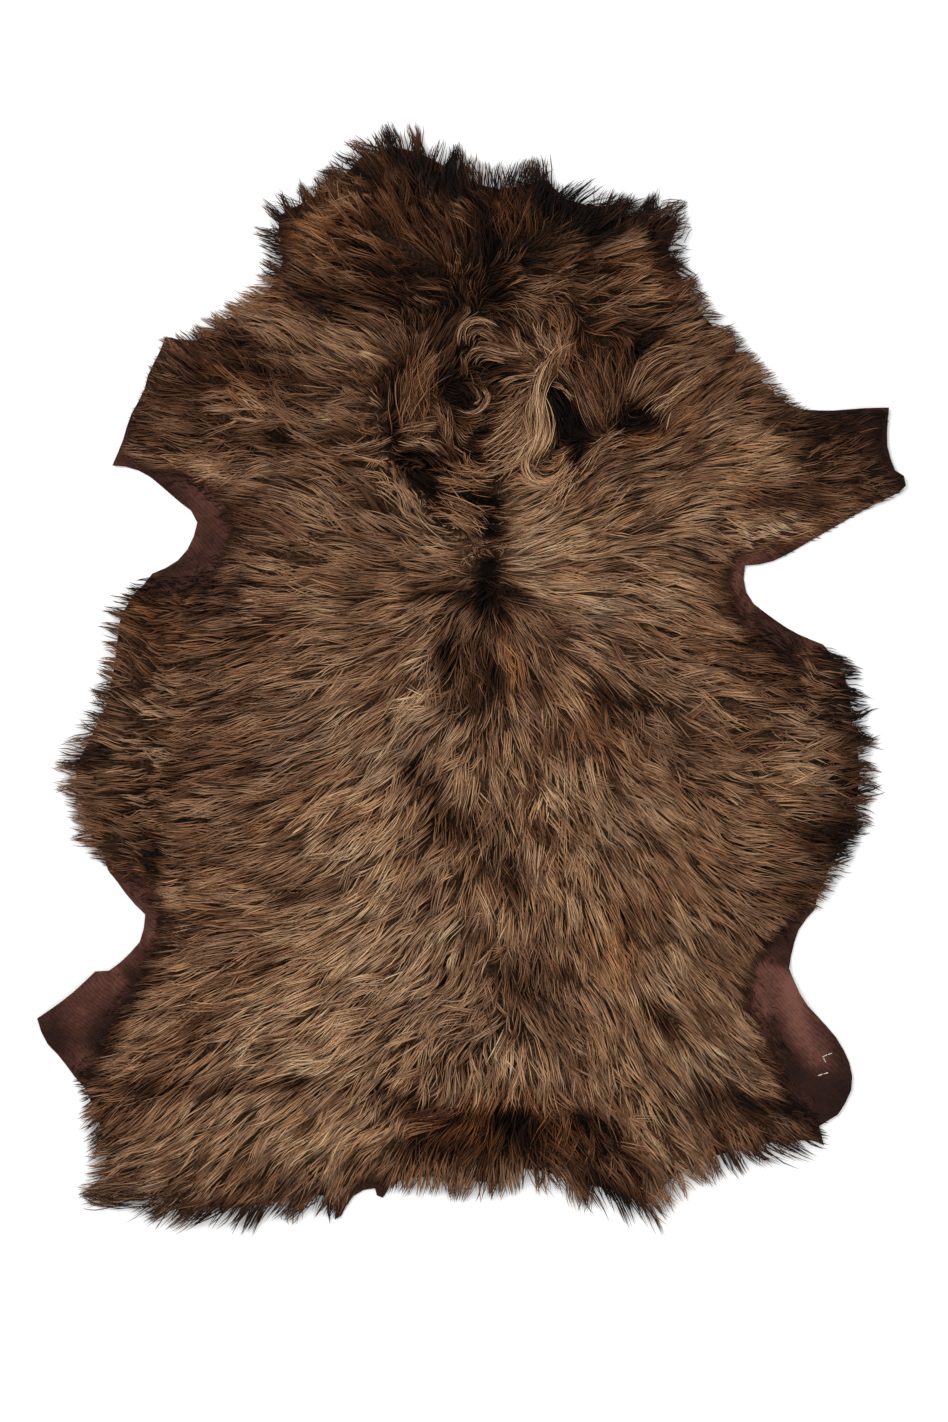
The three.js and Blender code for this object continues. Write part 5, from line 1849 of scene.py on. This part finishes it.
        warm += 0.08 * lock.warm + 0.06 * tuft.warm + rng.normal(0, 0.05, count)
        return np.clip(toned, 0.01, 0.99), np.clip(warm, 0.02, 0.98)


def deselect_all() -> None:
    """Leaves object mode with nothing selected."""
    if bpy.context.object is not None and bpy.context.object.mode != "OBJECT":
        bpy.ops.object.mode_set(mode="OBJECT")
    bpy.ops.object.select_all(action="DESELECT")


@contextmanager
def editing() -> Iterator[None]:
    """Opens the active piece for editing, and closes it afterwards."""
    bpy.ops.object.mode_set(mode="EDIT")
    yield
    bpy.ops.object.mode_set(mode="OBJECT")


def mark_tone_and_light(piece: bpy.types.Object, tones: np.ndarray) -> None:
    """Gives each of a piece's vertices the tone that its material reads, painted light and shade included.
    """
    tone_and_painted_light = piece.data.attributes.new(TONE_AND_LIGHT_ATTRIBUTE, "FLOAT", "POINT")
    tone_and_painted_light.data.foreach_set("value", tones.astype(np.float32))


def copy_of_node(node: str, name: str) -> bpy.types.Object:
    """Copies a CAD node as a new piece, its loose triangles merged, and leaves it selected.

    Args:
        node: The CAD node's name.
        name: The piece's name.

    Returns:
        The piece, active and in object mode.
    """
    deselect_all()
    piece = bpy.data.objects.new(name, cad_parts[node].data.copy())
    piece.data.name = name
    bpy.context.scene.collection.objects.link(piece)
    bpy.context.view_layer.objects.active = piece
    piece.select_set(True)
    with editing():
        bpy.ops.mesh.select_all(action="SELECT")
        bpy.ops.mesh.remove_doubles(threshold=1e-6)
    return piece


def corners_of(piece: bpy.types.Object) -> np.ndarray:
    """Reads where a piece's vertices are.

    Args:
        piece: The piece.

    Returns:
        Places in metres, one row each.
    """
    spots = np.empty(len(piece.data.vertices) * 3)
    piece.data.vertices.foreach_get("co", spots)
    return spots.reshape(-1, 3)


@dataclass
class Skin:
    """The tanned skin: a soft sheet with its creases where it lies bare."""

    ground: Ground
    finish: bpy.types.Material
    bare_cuts: int = 4
    fine_near_mm: float = 26
    smooth_degrees: float = 40
    waves_mm: float = 22
    wave_high_mm: float = 0.25
    most_dip: float = 0.6
    bare_ease_mm: float = 14
    bare_from: float = 1.4
    wave_seed: int = 8

    def build(self) -> bpy.types.Object:
        """Makes the sheet.

        Returns:
            The finished piece.
        """
        piece = copy_of_node(self.ground.skin_node, "tanned_skin")
        self.refine(piece)
        spots = corners_of(piece)
        rows = as_rows(CREASES, 6)
        lift = patch_weight(spots[:, :2], rows) @ rows[:, 5] * MM
        waves = value_noise(spots[:, :2], self.waves_mm, self.wave_seed)
        lift += self.wave_high_mm * MM * (1 + waves)
        away = self.ground.from_bare.at(spots[:, :2]) / (self.bare_ease_mm * MM)
        bare = smooth_step(self.bare_from - away)
        spots[:, 2] += np.maximum(lift, -spots[:, 2] * self.most_dip) * bare
        piece.data.vertices.foreach_set("co", spots.ravel())
        piece.data.update()
        # The leather's marked tones: its dye, with a painted highlight along the right flap and painted
        # shade in folds and by the wool.
        rows = as_rows(DYE_AND_PAINTED_LIGHT, 6)
        mark_tone_and_light(piece, np.clip(patch_weight(spots[:, :2], rows) @ rows[:, 5], -1, 1))
        bpy.ops.object.shade_smooth_by_angle(angle=math.radians(self.smooth_degrees))
        piece.data.materials.clear()
        piece.data.materials.append(self.finish)
        return piece

    def refine(self, piece: bpy.types.Object) -> None:
        """Splits the faces near bare leather finely, and leaves those under the wool coarse.

        Args:
            piece: The sheet.
        """
        middles = np.array([p.center[:2] for p in piece.data.polygons])
        wanted = self.ground.from_bare.at(middles) < self.fine_near_mm * MM
        with editing():
            bpy.ops.mesh.select_mode(type="FACE")
            bpy.ops.mesh.select_all(action="DESELECT")
        piece.data.polygons.foreach_set("select", wanted)
        with editing():
            bpy.ops.mesh.subdivide(number_cuts=self.bare_cuts)


@dataclass
class Undercoat:
    """The dense short wool under the strands, which shows only where they part."""

    ground: Ground
    combing: Combing
    finish: bpy.types.Material
    cell_mm: float = 10.0
    inset_mm: float = 9.0
    skin_inset_mm: float = 2
    share: float = 0.5
    lumps_mm: float = 19
    lump_mm: float = 0.8
    lump_seed: int = 9
    clear_mm: float = 0.4
    least_mm: float = 1
    raised: float = 0.01
    smooth_degrees: float = 50
    trims: int = 4

    def build(self) -> bpy.types.Object:
        """Makes the undercoat as a low lumpy slab inside the wool's outline.

        Returns:
            The finished piece.
        """
        across, along = ((Chart.high - Chart.low) / (self.cell_mm * MM)).astype(int)
        deselect_all()
        bpy.ops.mesh.primitive_grid_add(x_subdivisions=across, y_subdivisions=along, size=1)
        piece = bpy.context.object
        piece.name = piece.data.name = "undercoat"
        spots = corners_of(piece)
        spots[:, :2] *= Chart.high - Chart.low
        piece.data.vertices.foreach_set("co", spots.ravel())
        outside = self.ground.in_wool.at(spots[:, :2]) < self.inset_mm * MM
        outside |= self.ground.in_skin.at(spots[:, :2]) < self.skin_inset_mm * MM
        self.choose(piece, outside)
        with editing():
            bpy.ops.mesh.delete(type="VERT")
        self.trim(piece)
        with editing():
            bpy.ops.mesh.select_all(action="SELECT")
            bpy.ops.mesh.extrude_region_move(TRANSFORM_OT_translate={"value": (0, 0, self.raised)})
        spots = corners_of(piece)
        base = self.ground.skin_top.at(spots[:, :2]) + self.clear_mm * MM
        rise = (self.ground.wool_top.at(spots[:, :2]) - base) * self.share
        rise += value_noise(spots[:, :2], self.lumps_mm, self.lump_seed) * self.lump_mm * MM
        top = base + np.maximum(rise, self.least_mm * MM)
        spots[:, 2] = np.where(spots[:, 2] > self.raised / 2, top, base)
        piece.data.vertices.foreach_set("co", spots.ravel())
        with editing():
            bpy.ops.mesh.select_all(action="SELECT")
            bpy.ops.mesh.normals_make_consistent(inside=False)
        bpy.ops.object.shade_smooth_by_angle(angle=math.radians(self.smooth_degrees))
        # The undercoat follows the wool's tints, painted shade in creases, folds, partings and pockets
        # included.
        mark_tone_and_light(piece, self.combing.colour.at(corners_of(piece)[:, :2])[:, 0])
        piece.data.materials.append(self.finish)
        log.info("%s: %d faces", piece.name, len(piece.data.polygons))
        return piece

    def choose(self, piece: bpy.types.Object, wanted: np.ndarray) -> None:
        """Selects some of a piece's vertices, and nothing else.

        Args:
            piece: The piece.
            wanted: Which of its vertices.
        """
        with editing():
            bpy.ops.mesh.select_mode(type="VERT")
            bpy.ops.mesh.select_all(action="DESELECT")
        piece.data.vertices.foreach_set("select", wanted)

    def trim(self, piece: bpy.types.Object) -> None:
        """Drops cells that hang on by a corner or an edge, keeping one clean sheet.

        Args:
            piece: The sheet.
        """
        with editing():
            for _ in range(self.trims):
                bpy.ops.mesh.select_all(action="DESELECT")
                bpy.ops.mesh.select_non_manifold(
                    extend=False, use_wire=True, use_boundary=False, use_multi_face=True,
                    use_non_contiguous=True, use_verts=True,
                )
                bpy.ops.mesh.delete(type="VERT")
                bpy.ops.mesh.select_all(action="SELECT")
                bpy.ops.mesh.delete_loose(use_verts=True, use_edges=True, use_faces=False)


@dataclass
class TackingStitches:
    """Short stitches of white thread left in the right hind flap."""

    ground: Ground
    finish: bpy.types.Material
    thread_mm: float = 0.8
    rise_mm: float = 0.7
    sunk_mm: float = 0.2
    sides: int = 8
    cuts: tuple[float, ...] = (-0.3, -0.1, 0.1, 0.3)
    smooth_degrees: float = 50
    stitches: tuple[tuple[float, float, float, float], ...] = (
        (822.4, 1056.8, 827.0, 1054.6),
        (827.8, 1054.4, 832.0, 1053.0),
        (823.2, 1057.6, 825.8, 1062.4),
        (817.8, 1075.6, 822.2, 1074.0),
        (823.4, 1073.8, 827.8, 1072.4),
    )

    def build(self, carrier: bpy.types.Object) -> bpy.types.Object:
        """Makes the stitches on the skin.

        Args:
            carrier: The skin that they are sewn into.

        Returns:
            All of them as one piece.
        """
        surface = surface_of(carrier.data)
        deselect_all()
        parts = []
        for stitch in self.stitches:
            start, end = on_hide(np.array(stitch).reshape(2, 2))
            length = float(np.linalg.norm(end - start))
            middle = (start + end) / 2
            hit = surface.ray_cast(Vector((*middle, LOOK_FROM)), Vector((0, 0, -1)))[0]
            bpy.ops.mesh.primitive_cylinder_add(
                vertices=self.sides, radius=self.thread_mm * MM / 2, depth=length,
                location=(0, 0, 0), rotation=(0, math.pi / 2, 0),
            )
            part = bpy.context.object
            bpy.ops.object.transform_apply(location=True, rotation=True, scale=True)
            with editing():
                bpy.ops.mesh.select_all(action="SELECT")
                for share in self.cuts:
                    bpy.ops.mesh.select_all(action="SELECT")
                    bpy.ops.mesh.bisect(plane_co=(share * length, 0, 0), plane_no=(1, 0, 0))
            turn = math.atan2(end[1] - start[1], end[0] - start[0])
            spots = corners_of(part)
            arch = 1 - (2 * spots[:, 0] / length) ** 2
            x = middle[0] + spots[:, 0] * math.cos(turn) - spots[:, 1] * math.sin(turn)
            y = middle[1] + spots[:, 0] * math.sin(turn) + spots[:, 1] * math.cos(turn)
            z = hit.z + spots[:, 2] + (arch * self.rise_mm - self.sunk_mm) * MM
            part.data.vertices.foreach_set("co", np.stack([x, y, z], 1).ravel())
            parts.append(part)
        deselect_all()
        for part in parts:
            part.select_set(True)
        bpy.context.view_layer.objects.active = parts[0]
        bpy.ops.object.join()
        piece = bpy.context.object
        piece.name = piece.data.name = "tacking_stitches"
        bpy.ops.object.shade_smooth_by_angle(angle=math.radians(self.smooth_degrees))
        piece.data.materials.append(self.finish)
        return piece


@dataclass
class Studio:
    """A plain white floor, soft lamps, and a camera straight above the hide."""

    camera_height: float = 5.0
    rim_height: float = 0.004
    floor_size: float = 9.0

    def build(self) -> None:
        """Makes the floor, the lamps, the sky and the camera."""
        self.floor()
        self.lamp("key_lamp", (-1.9, 1.7, 2.9), 2.4, 108.0)
        self.lamp("fill_lamp", (2.4, -1.2, 3.0), 3.2, 42.0)
        sky = bpy.data.worlds.new("studio")
        sky.use_nodes = True
        back = sky.node_tree.nodes["Background"]
        back.inputs["Color"].default_value = (1.0, 1.0, 1.0, 1.0)
        back.inputs["Strength"].default_value = 0.75
        scene = bpy.context.scene
        scene.world = sky
        scene.view_settings.view_transform = "Standard"
        self.camera()

    def floor(self) -> None:
        """Makes the floor."""
        deselect_all()
        half = self.floor_size
        bpy.ops.mesh.primitive_plane_add(size=half, location=(0, 0, -0.0004))
        plane = bpy.context.object
        plane.name = "floor"
        bpy.ops.object.transform_apply(location=True, rotation=True, scale=True)
        plane.data.materials.append(PaperFinish().make())

    def lamp(self, name: str, place: tuple[float, float, float], size: float, watts: float) -> None:
        """Adds a square lamp that faces the middle of the hide.

        Args:
            name: Its name.
            place: Where it hangs, in metres.
            size: Its side, in metres.
            watts: Its power.
        """
        deselect_all()
        bpy.ops.object.light_add(type="AREA", location=place)
        lamp = bpy.context.object
        lamp.name = name
        lamp.data.size = size
        lamp.data.energy = watts
        lamp.rotation_euler = (-Vector(place)).to_track_quat("-Z", "Y").to_euler()

    def camera(self) -> None:
        """Places the camera straight above, with the whole picture in view."""
        deselect_all()
        x, y = on_hide(np.array([[PICTURE_MM[0] / 2, PICTURE_MM[1] / 2]]))[0]
        bpy.ops.object.camera_add(location=(x, y, self.camera_height), rotation=(0, 0, 0))
        camera = bpy.context.object
        camera.name = "camera_above"
        camera.data.sensor_fit = "VERTICAL"
        camera.data.sensor_height = 24.0
        half = PICTURE_MM[1] * MM / 2
        camera.data.lens = 12.0 * (self.camera_height - self.rim_height) / half
        camera.data.clip_end = 50.0
        bpy.context.scene.camera = camera


def main() -> None:
    """Builds the hide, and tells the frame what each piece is."""
    logging.basicConfig(level=logging.INFO, format="%(name)s: %(message)s")
    Studio().build()
    ground = Ground()
    combing = Combing()
    skin = Skin(ground, LeatherFinish().make())
    sheet = skin.build()
    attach(sheet, "root")
    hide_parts("skin")
    log.info("%s: %d faces", sheet.name, len(sheet.data.polygons))
    undercoat = Undercoat(ground, combing, UndercoatFinish().make()).build()
    wool = Wool(ground, combing, WoolFinish().make()).build()
    for piece in (undercoat, *wool):
        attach(piece, "root")
        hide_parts("fleece")
    stitches = TackingStitches(ground, ThreadFinish().make()).build(sheet)
    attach(stitches, "root")
    log.info("%s: %d faces", stitches.name, len(stitches.data.polygons))


if __name__ == "__main__":
    main()
